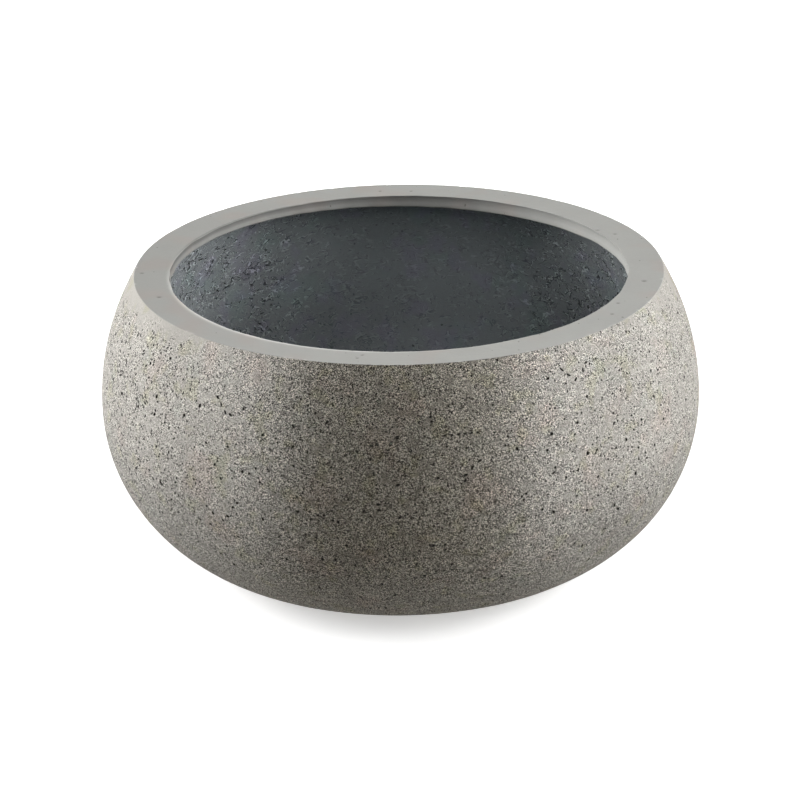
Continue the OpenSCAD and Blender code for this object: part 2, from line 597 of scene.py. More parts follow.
@dataclass(frozen=True)
class TrowelledConcrete:
    """Smooth, faintly clouded concrete: the rim."""

    paste: Colour = (0.317, 0.317, 0.300)
    tints: tuple[Tint, ...] = (Tint((1.03, 0.975, 0.96), 48 * MM, 0.5, 0.7, detail=1.0),)
    # Dark colour painted into the pores and the dimples as the shade inside them
    pore: Colour = (0.09, 0.085, 0.08)
    pore_pitch: float = 11 * MM
    cloud_size: float = 34 * MM
    lump_size: float = 7 * MM
    sand_size: float = 2.6 * MM
    relief: float = 0.25 * MM

    def material(self) -> bpy.types.Material:
        """Builds the material, with the tone and the dimples that the mesh carries.

        Returns:
            The material.
        """
        g = ShaderGraph.of_material("trowelled_concrete")
        fine = g.noise(self.sand_size, 2.0, 0.6)
        cloud = g.noise(self.cloud_size, 3.0)
        spots, number = g.cells(self.pore_pitch)
        pores = (number * 0.10 - spots).rise(-0.01, 0.03)
        colour = g.shade(g.tinted(self.paste, self.tints), 0.93 + 0.10 * cloud + 0.05 * fine)
        # The mesh's tone carries a painted highlight along the mouth's arris and painted shade on the lip
        colour = g.shade(colour, 1 + g.attribute("tone"))
        # Painted shade in the pores and, by the mesh's pit number, in the dimples
        colour = g.mix((pores * 0.7).either(g.attribute("pit")), colour, self.pore)
        normal = g.bump(fine * 0.5 + g.noise(self.lump_size) - pores, self.relief)
        roughness = 0.78 + 0.1 * cloud
        return g.finish(Base_Color=colour, Roughness=roughness, Normal=normal, Specular_IOR_Level=0.35)


@dataclass(frozen=True)
class CoreConcrete:
    """Raw fibre-reinforced concrete: the structural wall."""

    paste: Colour = (0.30, 0.29, 0.27)
    strand: Colour = (0.52, 0.53, 0.46)
    strand_width: float = 3 * MM
    sand_size: float = 2 * MM
    lump_size: float = 2.5 * MM
    lump_relief: float = 0.8 * MM

    def material(self) -> bpy.types.Material:
        """Builds the material, with strands that show here and there.

        Returns:
            The material.
        """
        g = ShaderGraph.of_material("core_concrete")
        place = g.turned((0.3, 0.2, 0.6), (0.12, 1, 1))
        strands = g.noise(self.strand_width, 1.0, place=place).rise(0.62, 0.68)
        sandy = 0.8 + 0.4 * g.noise(self.sand_size, 3.0, 0.7)
        colour = g.shade(g.mix(strands * 0.6, self.paste, self.strand), sandy)
        normal = g.bump(g.noise(self.lump_size, 3.0), self.lump_relief)
        return g.finish(Base_Color=colour, Roughness=0.95, Normal=normal)


@dataclass(frozen=True)
class SoakedFibre:
    """Chopped glass strands soaked in mortar: the mat."""

    mortar: Colour = (0.42, 0.42, 0.36)
    strand: Colour = (0.72, 0.74, 0.64)
    strand_width: float = 1.6 * MM
    strand_relief: float = 0.2 * MM

    def material(self) -> bpy.types.Material:
        """Builds the material, with strands laid in three directions.

        Returns:
            The material.
        """
        g = ShaderGraph.of_material("soaked_fibre")
        places = [g.turned((turn, turn / 2, turn * 2), (0.05, 1, 1)) for turn in (0.3, 1.3, 2.4)]
        layers = [g.noise(self.strand_width, 0.0, place=place).rise(0.56, 0.62) for place in places]
        strands = layers[0].either(layers[1]).either(layers[2])
        colour = g.mix(strands, self.mortar, self.strand)
        normal = g.bump(strands, self.strand_relief)
        return g.finish(Base_Color=colour, Roughness=0.6, Normal=normal)


@dataclass(frozen=True)
class BrushedLining:
    """Dark waterproof coat, laid on with a brush in short crossing strokes."""

    coat: Colour = (0.264, 0.285, 0.295)
    # Pale colour painted on the strokes' lit sides as their highlight
    stroke_highlight: Colour = (0.56, 0.60, 0.61)
    tints: tuple[Tint, ...] = (
        Tint((0.95, 1.02, 0.99), 40 * MM, 0.5, 0.68),
        Tint((1.03, 0.97, 1.08), 30 * MM, 0.52, 0.68, turn=(1.1, 0.4, 0.6)),
    )
    stroke_size: float = 8.5 * MM
    stroke_gap: float = 6 * MM
    stroke_relief: float = 1.2 * MM
    streak_size: float = 1.9 * MM
    fleck_pitch: float = 8 * MM
    cloud_size: float = 60 * MM
    grain_size: float = 1.3 * MM
    lump_size: float = 14 * MM
    lump_relief: float = 1.5 * MM
    turn_along: Triple = (0.5, 0.2, 0.9)
    patch_along: float = 19 * MM
    turn_across: Triple = (0.1, 0.7, -0.8)
    patch_across: float = 23 * MM
    # Where painted light or shade on the coat starts and where it is full, by height or by the place along
    # the X axis
    painted_light_heights: Span = (140 * MM, 195 * MM)
    painted_light_places: Span = (-40 * MM, 60 * MM)
    painted_shade_places: Span = (110 * MM, 220 * MM)
    under_rim_shadow_heights: Span = (262 * MM, 289 * MM)
    left_strokes: Span = (-60 * MM, -195 * MM)
    right_strokes: Span = (80 * MM, 200 * MM)

    def material(self) -> bpy.types.Material:
        """Builds the material.

        Returns:
            The material.
        """
        g = ShaderGraph.of_material("brushed_lining")
        lit, shaded = self._strokes(g, self.turn_along, self.patch_along)
        lit_across, shaded_across = self._strokes(g, self.turn_across, self.patch_across)
        lit = lit.either(lit_across)
        shaded = shaded.either(shaded_across)
        streaks = g.noise(self.streak_size, 1.0, 0.6, 0.8, g.turned((0.3, 0.5, 0.2), (0.4, 1, 1)))
        brushed = 0.5 + 0.35 * (lit - shaded) + 0.5 * (streaks - 0.5)
        spots, number = g.cells(self.fleck_pitch)
        flecks = (number * 0.22 - 0.05 - spots).rise(-0.01, 0.04)
        # Painted highlight on the strokes' lit sides and painted shade on their shaded sides, strongest at
        # the ends of the X axis
        colour = g.tinted(g.mix(lit, self.coat, self.stroke_highlight), self.tints)
        colour = g.shade(colour, self._tone(g) - 0.5 * flecks - 0.7 * shaded)
        normal = g.bump(brushed, self.stroke_relief, g.bump(g.noise(self.lump_size), self.lump_relief))
        roughness = 0.55 + 0.12 * brushed
        return g.finish(Base_Color=colour, Roughness=roughness, Normal=normal, Specular_IOR_Level=0.4)

    def _tone(self, g: ShaderGraph) -> Expression:
        """Clouds and grain, with painted light above half height, painted shade towards the end of the X axis
        and, most of all, a painted shadow under the rim.

        Args:
            g: The graph.

        Returns:
            A factor for the colour.
        """
        height, across = g.along("Z"), g.along("X")
        # Painted light above half height and past the middle, painted shade at the +X end, painted shadow
        # under the rim
        painted_light = 0.22 * height.rise(*self.painted_light_heights) + 0.07 * across.rise(*self.painted_light_places)
        painted_light = painted_light - 0.32 * across.rise(*self.painted_shade_places)
        clouds = 0.24 * g.noise(self.cloud_size, 3.0) + 0.24 * g.noise(self.grain_size, 1.0)
        return 0.67 + clouds + painted_light - 0.52 * height.rise(*self.under_rim_shadow_heights)

    def _strokes(self, g: ShaderGraph, turn: Triple, patch: float) -> tuple[Expression, Expression]:
        """Short brush strokes in one main direction, strongest at the ends of the X axis.

        A stroke is a pair of narrow bands beside a level line of a noise, one lit and one shaded.

        Args:
            g: The graph.
            turn: How the coordinates are turned, which sets the direction.
            patch: Width of the patches in which the strokes lie.

        Returns:
            Masks of the strokes' lit and shaded sides.
        """
        flow = g.noise(self.stroke_size, 1.0, 0.5, 1.4, g.turned(turn, (0.5, 1, 1)))
        there = g.noise(self.stroke_gap, 1.0, 0.6, place=g.turned(turn)).rise(0.40, 0.48)
        there = there * (0.2 + 0.8 * g.noise(patch, 1.0).rise(0.42, 0.54))
        across = g.along("X")
        ends = across.rise(*self.left_strokes) + 0.6 * across.rise(*self.right_strokes)
        lit = flow.rise(0.5, 0.515) * flow.rise(0.56, 0.54)
        shaded = flow.rise(0.44, 0.46) * flow.rise(0.5, 0.485)
        return lit * there * (0.25 + 1.70 * ends), shaded * there * (0.42 + 1.10 * ends)


@dataclass(frozen=True)
class Moulded:
    """Plain moulded rubber or plastic with a fine spark-eroded grain and a little dust."""

    name: str
    colour: Colour
    roughness: float
    dust: Colour = (0.20, 0.19, 0.17)
    dust_size: float = 8 * MM
    grain_size: float = 0.5 * MM
    grain_relief: float = 0.06 * MM

    def material(self) -> bpy.types.Material:
        """Builds the material.

        Returns:
            The material.
        """
        g = ShaderGraph.of_material(self.name)
        dusty = g.noise(self.dust_size, 4.0, 0.65).rise(0.55, 0.75) * 0.35
        colour = g.mix(dusty, self.colour, self.dust)
        normal = g.bump(g.noise(self.grain_size, 1.0), self.grain_relief)
        roughness = self.roughness + 0.2 * dusty
        return g.finish(Base_Color=colour, Roughness=roughness, Normal=normal, Specular_IOR_Level=0.4)


@dataclass(frozen=True)
class ZincWire:
    """Galvanised wire with a spangled zinc skin."""

    zinc: Colour = (0.55, 0.57, 0.58)
    dull: Colour = (0.38, 0.39, 0.40)
    spangle_size: float = 1.2 * MM
    patch_size: float = 4 * MM

    def material(self) -> bpy.types.Material:
        """Builds the material, each spangle of zinc with its own shine.

        Returns:
            The material.
        """
        g = ShaderGraph.of_material("zinc_wire")
        _, spangle = g.cells(self.spangle_size)
        colour = g.mix(spangle * 0.7 + 0.3 * g.noise(self.patch_size), self.dull, self.zinc)
        return g.finish(Base_Color=colour, Metallic=1.0, Roughness=0.38 + 0.15 * spangle)


@dataclass(frozen=True)
class PaleFloor:
    """Plain pale studio floor."""

    tone: Colour = (0.86, 0.86, 0.86)
    cloud_size: float = 50 * MM
    glow: float = 0.55

    def material(self) -> bpy.types.Material:
        """Builds the material, which glows a little, as a floor lit from below does.

        Returns:
            The material.
        """
        g = ShaderGraph.of_material("pale_floor")
        colour = g.shade(self.tone, 0.99 + 0.02 * g.noise(self.cloud_size))
        return g.finish(
            Base_Color=colour,
            Roughness=0.9,
            Specular_IOR_Level=0.1,
            Emission_Color=colour,
            Emission_Strength=self.glow,
        )


# ---- Surfaces ----


@dataclass(frozen=True)
class Waves:
    """Seeded unevenness: a sum of plane sine waves in random directions, with mean 0 and variance 1.

    value(p) = sqrt(2 / count) * sum of sin(2 pi (p . direction) / length + phase)
    """

    seed: int
    length: float
    count: int = 24
    spread: float = 0.4

    def at(self, points: np.ndarray) -> np.ndarray:
        """Values at points.

        Args:
            points: Array of points, with x, y and z along its last axis.

        Returns:
            One value a point.
        """
        draw = np.random.default_rng(self.seed)
        direction = draw.normal(size=(self.count, 3))
        direction /= np.linalg.norm(direction, axis=1, keepdims=True)
        length = self.length * np.exp(draw.uniform(-self.spread, self.spread, self.count))
        phase = draw.uniform(0, TURN, self.count)
        angle = TURN * points @ (direction / length[:, None]).T + phase
        return np.sqrt(2 / self.count) * np.sin(angle).sum(-1)

    def bounded(self, points: np.ndarray, gain: float = 0.7) -> np.ndarray:
        """Values at points, kept between -1 and 1 as tanh(gain * value)."""
        return np.tanh(gain * self.at(points))


@dataclass
class Surface:
    """A mesh in the making: points, faces of three or four corners, and numbers carried at the points."""

    points: np.ndarray
    faces: list[np.ndarray]
    numbers: dict[str, np.ndarray] = field(default_factory=dict)

    def joined(self, other: "Surface") -> "Surface":
        """Both surfaces as one mesh."""
        shifted = [faces + len(self.points) for faces in other.faces]
        return Surface(np.vstack([self.points, other.points]), self.faces + shifted)

    def build(self, name: str) -> bpy.types.Mesh:
        """Makes the Blender mesh, smooth but for its sharp edges.

        Args:
            name: The mesh's name.

        Returns:
            The mesh.
        """
        sizes = np.concatenate([np.full(len(faces), faces.shape[1]) for faces in self.faces])
        starts = np.concatenate([[0], np.cumsum(sizes)[:-1]])
        corners = np.concatenate([faces.ravel() for faces in self.faces])
        mesh = bpy.data.meshes.new(name)
        mesh.vertices.add(len(self.points))
        mesh.vertices.foreach_set("co", self.points.astype(np.float32).ravel())
        mesh.loops.add(len(corners))
        mesh.loops.foreach_set("vertex_index", corners.astype(np.int32))
        mesh.polygons.add(len(sizes))
        mesh.polygons.foreach_set("loop_start", starts.astype(np.int32))
        mesh.polygons.foreach_set("loop_total", sizes.astype(np.int32))
        mesh.update(calc_edges=True)
        mesh.polygons.foreach_set("use_smooth", np.ones(len(sizes), bool))
        mesh.set_sharp_from_angle(angle=SHARP_EDGE)
        for key, values in self.numbers.items():
            mesh.attributes.new(key, "FLOAT", "POINT").data.foreach_set("value", values.astype(np.float32))
        return mesh


def ramp(value: np.ndarray, start: float, end: float) -> np.ndarray:
    """0 up to `start`, 1 from `end` on, and a straight line between them."""
    return np.clip((value - start) / (end - start), 0, 1)


def smooth_ramp(value: np.ndarray, start: float, end: float) -> np.ndarray:
    """A ramp with a soft start and end: 3 v^2 - 2 v^3, with v the straight one."""
    share = ramp(value, start, end)
    return share * share * (3 - 2 * share)


def bell(value: np.ndarray, width: np.ndarray | float, power: int = 2) -> np.ndarray:
    """A hump that is 1 at 0: exp(-(value / width)^power)."""
    return np.exp(-((value / width) ** power))


def facing(turn: np.ndarray, azimuth: float, power: int = 1) -> np.ndarray:
    """How far angles face an azimuth: (1/2 + cos(turn - azimuth) / 2)^power, 1 there and 0 opposite.

    Args:
        turn: Angles in radians.
        azimuth: The azimuth in degrees.
        power: How narrow the peak is.

    Returns:
        One value an angle.
    """
    return (0.5 + 0.5 * np.cos(turn - math.radians(azimuth))) ** power


def full_turn(count: int) -> np.ndarray:
    """Angles in equal steps round a full turn."""
    return TURN * np.arange(count) / count


def about_axis(radius: np.ndarray, turn: np.ndarray, height: np.ndarray) -> np.ndarray:
    """Points (r cos t, r sin t, z), with r the radius, t the turn and z the height."""
    return np.stack(np.broadcast_arrays(radius * np.cos(turn), radius * np.sin(turn), height), axis=-1)


def polar(points: np.ndarray) -> tuple[np.ndarray, np.ndarray]:
    """The distance of points from the axis, and their angle about it."""
    return np.hypot(points[..., 0], points[..., 1]), np.arctan2(points[..., 1], points[..., 0])


def spin(section: np.ndarray, columns: int) -> np.ndarray:
    """Turns a section, given as radius and height of each row, into points in rows and columns."""
    return about_axis(section[:, 0, None], full_turn(columns), section[:, 1, None])


def outward(section: np.ndarray) -> np.ndarray:
    """Directions that point out of a section which runs anticlockwise, as radius and height.

    Each is the section's own direction, taken between the row's neighbours and turned a quarter clockwise.

    Args:
        section: Radius and height of each row.

    Returns:
        One unit vector a row.
    """
    along = np.gradient(section, axis=0)
    across = np.stack([along[:, 1], -along[:, 0]], axis=-1)
    return across / np.linalg.norm(across, axis=1, keepdims=True)


def rings(rows: int, columns: int, closed: bool) -> np.ndarray:
    """Quads between the rows and columns of a turned surface.

    Args:
        rows: How many rows it has.
        columns: How many columns go round.
        closed: Whether the last row joins the first.

    Returns:
        Four corners a quad, facing out.
    """
    row, column = np.meshgrid(np.arange(rows if closed else rows - 1), np.arange(columns), indexing="ij")
    here, above = row * columns, (row + 1) % rows * columns
    beside = (column + 1) % columns
    return np.stack([here + column, here + beside, above + beside, above + column], axis=-1).reshape(-1, 4)


def closed_grid(points: np.ndarray) -> Surface:
    """The surface of points in rows and columns, whose last row and column join the first ones."""
    return Surface(points.reshape(-1, 3), [rings(*points.shape[:2], True)])


def turned_solid(section: np.ndarray, columns: int) -> Surface:
    """A solid turned about the axis, whose section starts and ends there and is closed by a fan at each end.

    Args:
        section: Radius and height from the bottom pole to the top pole.
        columns: How many columns go round.

    Returns:
        The surface.
    """
    body = section[1:-1]
    points = spin(body, columns).reshape(-1, 3)
    poles = np.array([[0, 0, section[0, 1]], [0, 0, section[-1, 1]]])
    here = np.arange(columns)
    beside = (here + 1) % columns
    low, high = len(points), len(points) + 1
    last = (len(body) - 1) * columns
    fans = [
        np.stack([np.full(columns, low), beside, here], axis=-1),
        np.stack([np.full(columns, high), last + here, last + beside], axis=-1),
    ]
    return Surface(np.vstack([points, poles]), [rings(len(body), columns, False), *fans])


def arc(centre: Sequence[float], radius: float, start: float, end: float, count: int) -> np.ndarray:
    """Points on an arc: centre + radius (cos a, sin a), with a in equal steps.

    Args:
        centre: Its middle, as radius and height.
        radius: Its radius.
        start: First angle in degrees.
        end: Last angle in degrees.
        count: How many points it has.

    Returns:
        Radius and height of each point.
    """
    angle = np.radians(np.linspace(start, end, count))
    return np.stack([centre[0] + radius * np.cos(angle), centre[1] + radius * np.sin(angle)], axis=-1)


def line(start: Sequence[float], end: Sequence[float], steps: int) -> np.ndarray:
    """Points on a straight line in equal steps, without the last one.

    Args:
        start: Its first point, as radius and height.
        end: The point it leads to.
        steps: How many points it has.

    Returns:
        Radius and height of each point.
    """
    share = np.arange(steps)[:, None] / steps
    return np.asarray(start) * (1 - share) + np.asarray(end) * share


def distances(section: np.ndarray) -> np.ndarray:
    """How far along a section each of its points lies."""
    steps = np.linalg.norm(np.diff(section, axis=0), axis=1)
    return np.concatenate([[0], np.cumsum(steps)])


def evenly(section: np.ndarray, count: int) -> np.ndarray:
    """A section with its points spaced evenly along it.

    Args:
        section: Radius and height of each point.
        count: How many points it gets.

    Returns:
        Radius and height of each new point.
    """
    along = distances(section)
    wanted = np.linspace(0, along[-1], count)
    return np.stack([np.interp(wanted, along, section[:, k]) for k in (0, 1)], axis=-1)


def eased(section: np.ndarray, reach: int) -> np.ndarray:
    """A section whose corners are eased: each point becomes the mean of its neighbours, with the ends kept.

    Args:
        section: Radius and height of each point.
        reach: How many neighbours count on each side.

    Returns:
        Radius and height of each point.
    """
    kernel = np.ones(2 * reach + 1) / (2 * reach + 1)
    padded = np.pad(section, ((reach, reach), (0, 0)), mode="reflect", reflect_type="odd")
    return np.stack([np.convolve(padded[:, k], kernel, mode="valid") for k in (0, 1)], axis=-1)


def add_piece(
    name: str,
    surface: Surface,
    material: bpy.types.Material,
    body: Body,
    slot: Slot,
    nodes: Sequence[str],
) -> None:
    """Puts a finished piece into the scene.

    Args:
        name: The piece's name.
        surface: Its shape, in place.
        material: Its material.
        body: The CAD body it rides on.
        slot: The record's slot; not used.
        nodes: The CAD nodes it stands for.
    """
    piece = bpy.data.objects.new(name, surface.build(name))
    bpy.context.scene.collection.objects.link(piece)
    piece.data.materials.append(material)
    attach(piece, body.value)
    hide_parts(*nodes)
    triangles = sum(len(faces) * (faces.shape[1] - 2) for faces in surface.faces)
    LOG.info("%s: %d triangles, for %s", name, triangles, ", ".join(nodes))


def dress_node(name: str, material: bpy.types.Material) -> None:
    """Gives a material to a CAD node that stays in the scene.

    Args:
        name: The node's name.
        material: The material.
    """
    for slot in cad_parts[name].material_slots:
        slot.material = material
    LOG.info("%s: CAD node with %s", name, material.name)


# ---- Sizes shared by the sub-assemblies ----


def sweep(across: float, along: float) -> float:
    """Radius of the arc that leaves the belly upright and ends `across` further in and `along` up or down."""
    return (across * across + along * along) / (2 * across)


@dataclass(frozen=True)
class BowlSizes:
    """The CAD part's sizes, in metres."""

    belly_r: float = 300 * MM
    belly_h: float = 170 * MM
    total_h: float = 300 * MM
    base_r: float = 177 * MM
    rim_r: float = 264 * MM
    mouth_r: float = 228.5 * MM
    rim_t: float = 11 * MM
    # How far in and down from the rim's outer edge the rim and the coat's back meet
    rim_bed: float = 4.5 * MM
    under_z: float = 3 * MM
    floor_z: float = 17 * MM
    coat_t: float = 2.5 * MM
    wall_back: float = 9.5 * MM
    lining_t: float = 1 * MM
    sleeve_r: float = 13.5 * MM
    lining_hole_r: float = 19 * MM
    arris_r: float = 0.8 * MM

    @property
    def upper_r(self) -> float:
        """Radius of the wall's arc above the belly."""
        return sweep(self.belly_r - self.rim_r, self.total_h - self.belly_h)

    @property
    def lower_r(self) -> float:
        """Radius of the wall's arc below the belly."""
        return sweep(self.belly_r - self.base_r, self.belly_h - self.under_z)

    @property
    def rim_under(self) -> float:
        """Height of the rim's underside."""
        return self.total_h - self.rim_t

    def wall(self, along: np.ndarray, depth: float = 0.0) -> np.ndarray:
        """Points of the wall, on its two arcs.

        Args:
            along: Distance up the outer face from the belly.
            depth: Distance behind the outer face.

        Returns:
            Radius and height of each point.
        """
        swing = np.where(along > 0, self.upper_r, self.lower_r)
        angle = along / swing
        radius = self.belly_r - swing + (swing - depth) * np.cos(angle)
        return np.stack([radius, self.belly_h + (swing - depth) * np.sin(angle)], axis=-1)

    def along_at(self, height: float, depth: float = 0.0) -> float:
        """Where a layer of the wall has a height.

        Args:
            height: The height.
            depth: Distance of the layer behind the outer face.

        Returns:
            Distance up the outer face from the belly.
        """
        rise = height - self.belly_h
        swing = self.upper_r if rise > 0 else self.lower_r
        return swing * math.asin(rise / (swing - depth))

    def arris(self) -> tuple[np.ndarray, float]:
        """The rounding between the rim's top and the wall.

        Returns:
            Its middle, as radius and height, and the angle in degrees at which it meets the wall.
        """
        drop = self.total_h - self.arris_r - self.belly_h
        out = math.sqrt((self.upper_r - self.arris_r) ** 2 - drop**2)
        middle = np.array([self.belly_r - self.upper_r + out, self.total_h - self.arris_r])
        return middle, math.degrees(math.atan2(drop, out))


# ---- Wall ----


@dataclass(frozen=True)
class Mark:
    """A pit in the outer face, or a crack if it has a length, with its azimuth and its lean in degrees."""

    azimuth: float
    height: float
    length: float = 0.0
    lean: float = 0.0
    width: float = 2.6 * MM


# A pit in a table of pits: its block's row and column, its middle and half-widths in half blocks, its turn in
# radians and its depth in metres
PIT = np.dtype([(key, float) for key in ("row", "column", "aside", "up", "wide", "tall", "turn", "depth")])
# Points round a block as rows and columns from its lower left corner, anticlockwise
BLOCK_EDGE = np.array([(0, 0), (0, 1), (0, 2), (1, 2), (2, 2), (2, 1), (2, 0), (1, 0)])


def collar(low: np.ndarray, high: np.ndarray) -> np.ndarray:
    """Quads between pairs of rings, each ring a row of point numbers."""
    corners = [low, np.roll(low, -1, axis=1), np.roll(high, -1, axis=1), high]
    return np.stack(corners, axis=-1).reshape(-1, 4)


@dataclass
class BowlWall:
    """The outer face with its pits and cracks, and the mat and the core behind it.

    The face is a grid in which a block of two by two cells holds one pit at most.
    """

    sizes: BowlSizes
    columns: int = 576
    blocks_up: int = 54
    base_rows: int = 10
    back_rows: int = 9
    pit_count: int = 900
    pit_least: float = 0.9 * MM
    pit_spread: float = 1.3 * MM
    pit_skew: float = 2.2
    pit_flatness: Span = (0.55, 1.0)
    pit_steepness: Span = (0.9, 1.5)
    pit_raggedness: Span = (0.78, 1.12)
    # How far from its block's middle a strewn pit and the points of any pit may reach, in half blocks
    pit_room: float = 0.92
    pit_reach: float = 0.97
    # The throat's width as a share of the mouth's, and its depth as a share of the pit's
    throat_spread: float = 0.62
    throat_sink: float = 0.75
    # How dark a pit's mouth is painted, as the shade at its edge
    mouth_darkness: float = 0.6
    # A crack is a chain of pits about `chain_step` half blocks apart, turned by some `chain_wobble` radians
    chain_step: float = 1.6
    chain_wobble: float = 0.25
    mark_steepness: float = 0.7
    mark_room: float = 0.95
    pit_seed: int = 43
    rag_seed: int = 44
    swell: Waves = Waves(41, 150 * MM)
    swell_depth: float = 0.35 * MM
    ripple: Waves = Waves(42, 11 * MM, 40)
    ripple_depth: float = 0.06 * MM
    # Over what length the unevenness fades at the face's ends
    calm: float = 14 * MM
    # The heights at the top and the foot with the fewest pits, and those over which their number grows
    bare_edge: float = 8 * MM
    sparse_top: float = 50 * MM
    sparse_foot: float = 40 * MM
    top_density: float = 0.06
    foot_density: float = 0.1
    # What stands out in the photograph
    marks: tuple[Mark, ...] = (
        Mark(-120.9, 261.0 * MM),
        Mark(-146.8, 273.2 * MM),
        Mark(-168.5, 207.2 * MM, 2 * MM, 80, 3.0 * MM),
        Mark(-154.0, 168.2 * MM),
        Mark(-149.3, 174.5 * MM),
        Mark(-137.4, 158.1 * MM),
        Mark(-132.4, 167.5 * MM),
        Mark(-125.0, 138.3 * MM, width=3.8 * MM),
        Mark(-126.1, 132.4 * MM),
        Mark(-78.8, 188.4 * MM),
        Mark(-126.5, 247.0 * MM, 21 * MM, -42, 2.0 * MM),
        Mark(-78.4, 237.9 * MM, 34 * MM, -3, 1.8 * MM),
        Mark(-76.9, 203.3 * MM, 17 * MM, 29, 2.0 * MM),
        Mark(-54.8, 272.0 * MM, 16 * MM, -35, 2.0 * MM),
        Mark(-51.1, 273.0 * MM, 18 * MM, 40, 2.0 * MM),
        Mark(-78.6, 192.9 * MM, 5 * MM, 57),
        Mark(-86.3, 250.7 * MM, 4 * MM, 50, 2.2 * MM),
        Mark(-50.9, 196.3 * MM, 7 * MM, 74, 3.0 * MM),
        Mark(-46.0, 191.9 * MM),
        Mark(-39.9, 182.5 * MM, width=3.4 * MM),
        Mark(-46.5, 103.3 * MM, 5 * MM, 40, 3.4 * MM),
        Mark(-45.0, 125.8 * MM, 11 * MM, -46, 2.2 * MM),
        Mark(-39.9, 102.3 * MM, 4 * MM, 80),
        Mark(-53.8, 99.2 * MM, 5 * MM, 47),
        Mark(-102.6, 152.5 * MM, width=3.4 * MM),
        Mark(-100.8, 86.4 * MM),
        Mark(-54.8, 227.6 * MM, 5 * MM, 53),
        Mark(-55.3, 182.1 * MM, 4 * MM, 54),
        Mark(-50.8, 167.9 * MM, 4 * MM, 54),
        Mark(-70.2, 220.4 * MM),
        Mark(-61.0, 185.7 * MM),
        Mark(-50.6, 147.3 * MM),
    )

    @property
    def around(self) -> int:
        """How many blocks go round."""
        return self.columns // 2

    @property
    def face(self) -> slice:
        """The rows that show on the outer face."""
        return slice(self.base_rows, self.base_rows + 2 * self.blocks_up + 1)

    def _section(self) -> np.ndarray:
        """The coat's closed section, anticlockwise from the drain hole's lower edge.

        Returns:
            Radius and height of each row.
        """
        s = self.sizes
        _, lean = s.arris()
        top = math.radians(lean) * s.upper_r
        base = line((s.sleeve_r, s.under_z), (s.base_r, s.under_z), self.base_rows)
        face = s.wall(np.linspace(s.along_at(s.under_z), top, 2 * self.blocks_up + 1))
        back_top = s.along_at(s.total_h - s.rim_bed, s.coat_t)
        back_bottom = s.along_at(s.under_z + s.coat_t, s.coat_t)
        back = s.wall(np.linspace(back_top, back_bottom, self.back_rows), s.coat_t)
        return np.vstack([base, face, back, [[s.sleeve_r, s.under_z + s.coat_t]]])

    def _displaced(self, section: np.ndarray) -> np.ndarray:
        """The coat's points, with the face drawn in by a slow and a fine unevenness that fades at its ends.

        Args:
            section: The section.

        Returns:
            Points in rows and columns.
        """
        points = spin(section, self.columns)
        swell = self.swell.bounded(points[self.face])
        ripple = self.ripple.bounded(points[self.face])
        depth = self.swell_depth * (1 - swell) / 2 + self.ripple_depth * (1 - ripple)
        along = distances(section[self.face])
        fade = smooth_ramp(np.minimum(along, along[-1] - along), 0, self.calm)[:, None]
        points[self.face] -= spin(outward(section[self.face]), self.columns) * (fade * depth)[..., None]
        return points

    def _strewn_pits(self, face: np.ndarray, draw: np.random.Generator) -> np.ndarray:
        """Pits strewn over the face, most of them small, and few of them near the rim and the foot.

        Args:
            face: The face's section.
            draw: Source of random numbers.

        Returns:
            A table of pits.
        """
        middle_r, middle_z = face[1::2].T
        top = self.sizes.total_h - self.bare_edge
        under_rim = ramp(middle_z, top, top - self.sparse_top)
        above_foot = ramp(middle_z, self.bare_edge, self.bare_edge + self.sparse_foot)
        density = np.maximum(under_rim, self.top_density) * np.maximum(above_foot, self.foot_density)
        weight = np.repeat(density * middle_r, self.around)
        chosen = draw.choice(len(weight), self.pit_count, replace=False, p=weight / weight.sum())
        half_h = np.linalg.norm(face[1] - face[0])
        pits = np.zeros(self.pit_count, PIT)
        size = self.pit_least + self.pit_spread * draw.random(self.pit_count) ** self.pit_skew
        flatness = draw.uniform(*self.pit_flatness, self.pit_count)
        pits["turn"] = draw.uniform(0, math.pi, self.pit_count)
        loose = self.pit_room - size / half_h
        pits["aside"], pits["up"] = draw.uniform(-1, 1, (self.pit_count, 2)).T * loose
        pits["depth"] = size * draw.uniform(*self.pit_steepness, self.pit_count)
        row, column = np.divmod(chosen, self.around)
        pits["row"], pits["column"] = row, column
        pits["wide"] = size / (TURN * middle_r[row] / self.columns)
        pits["tall"] = size * flatness / half_h
        return pits

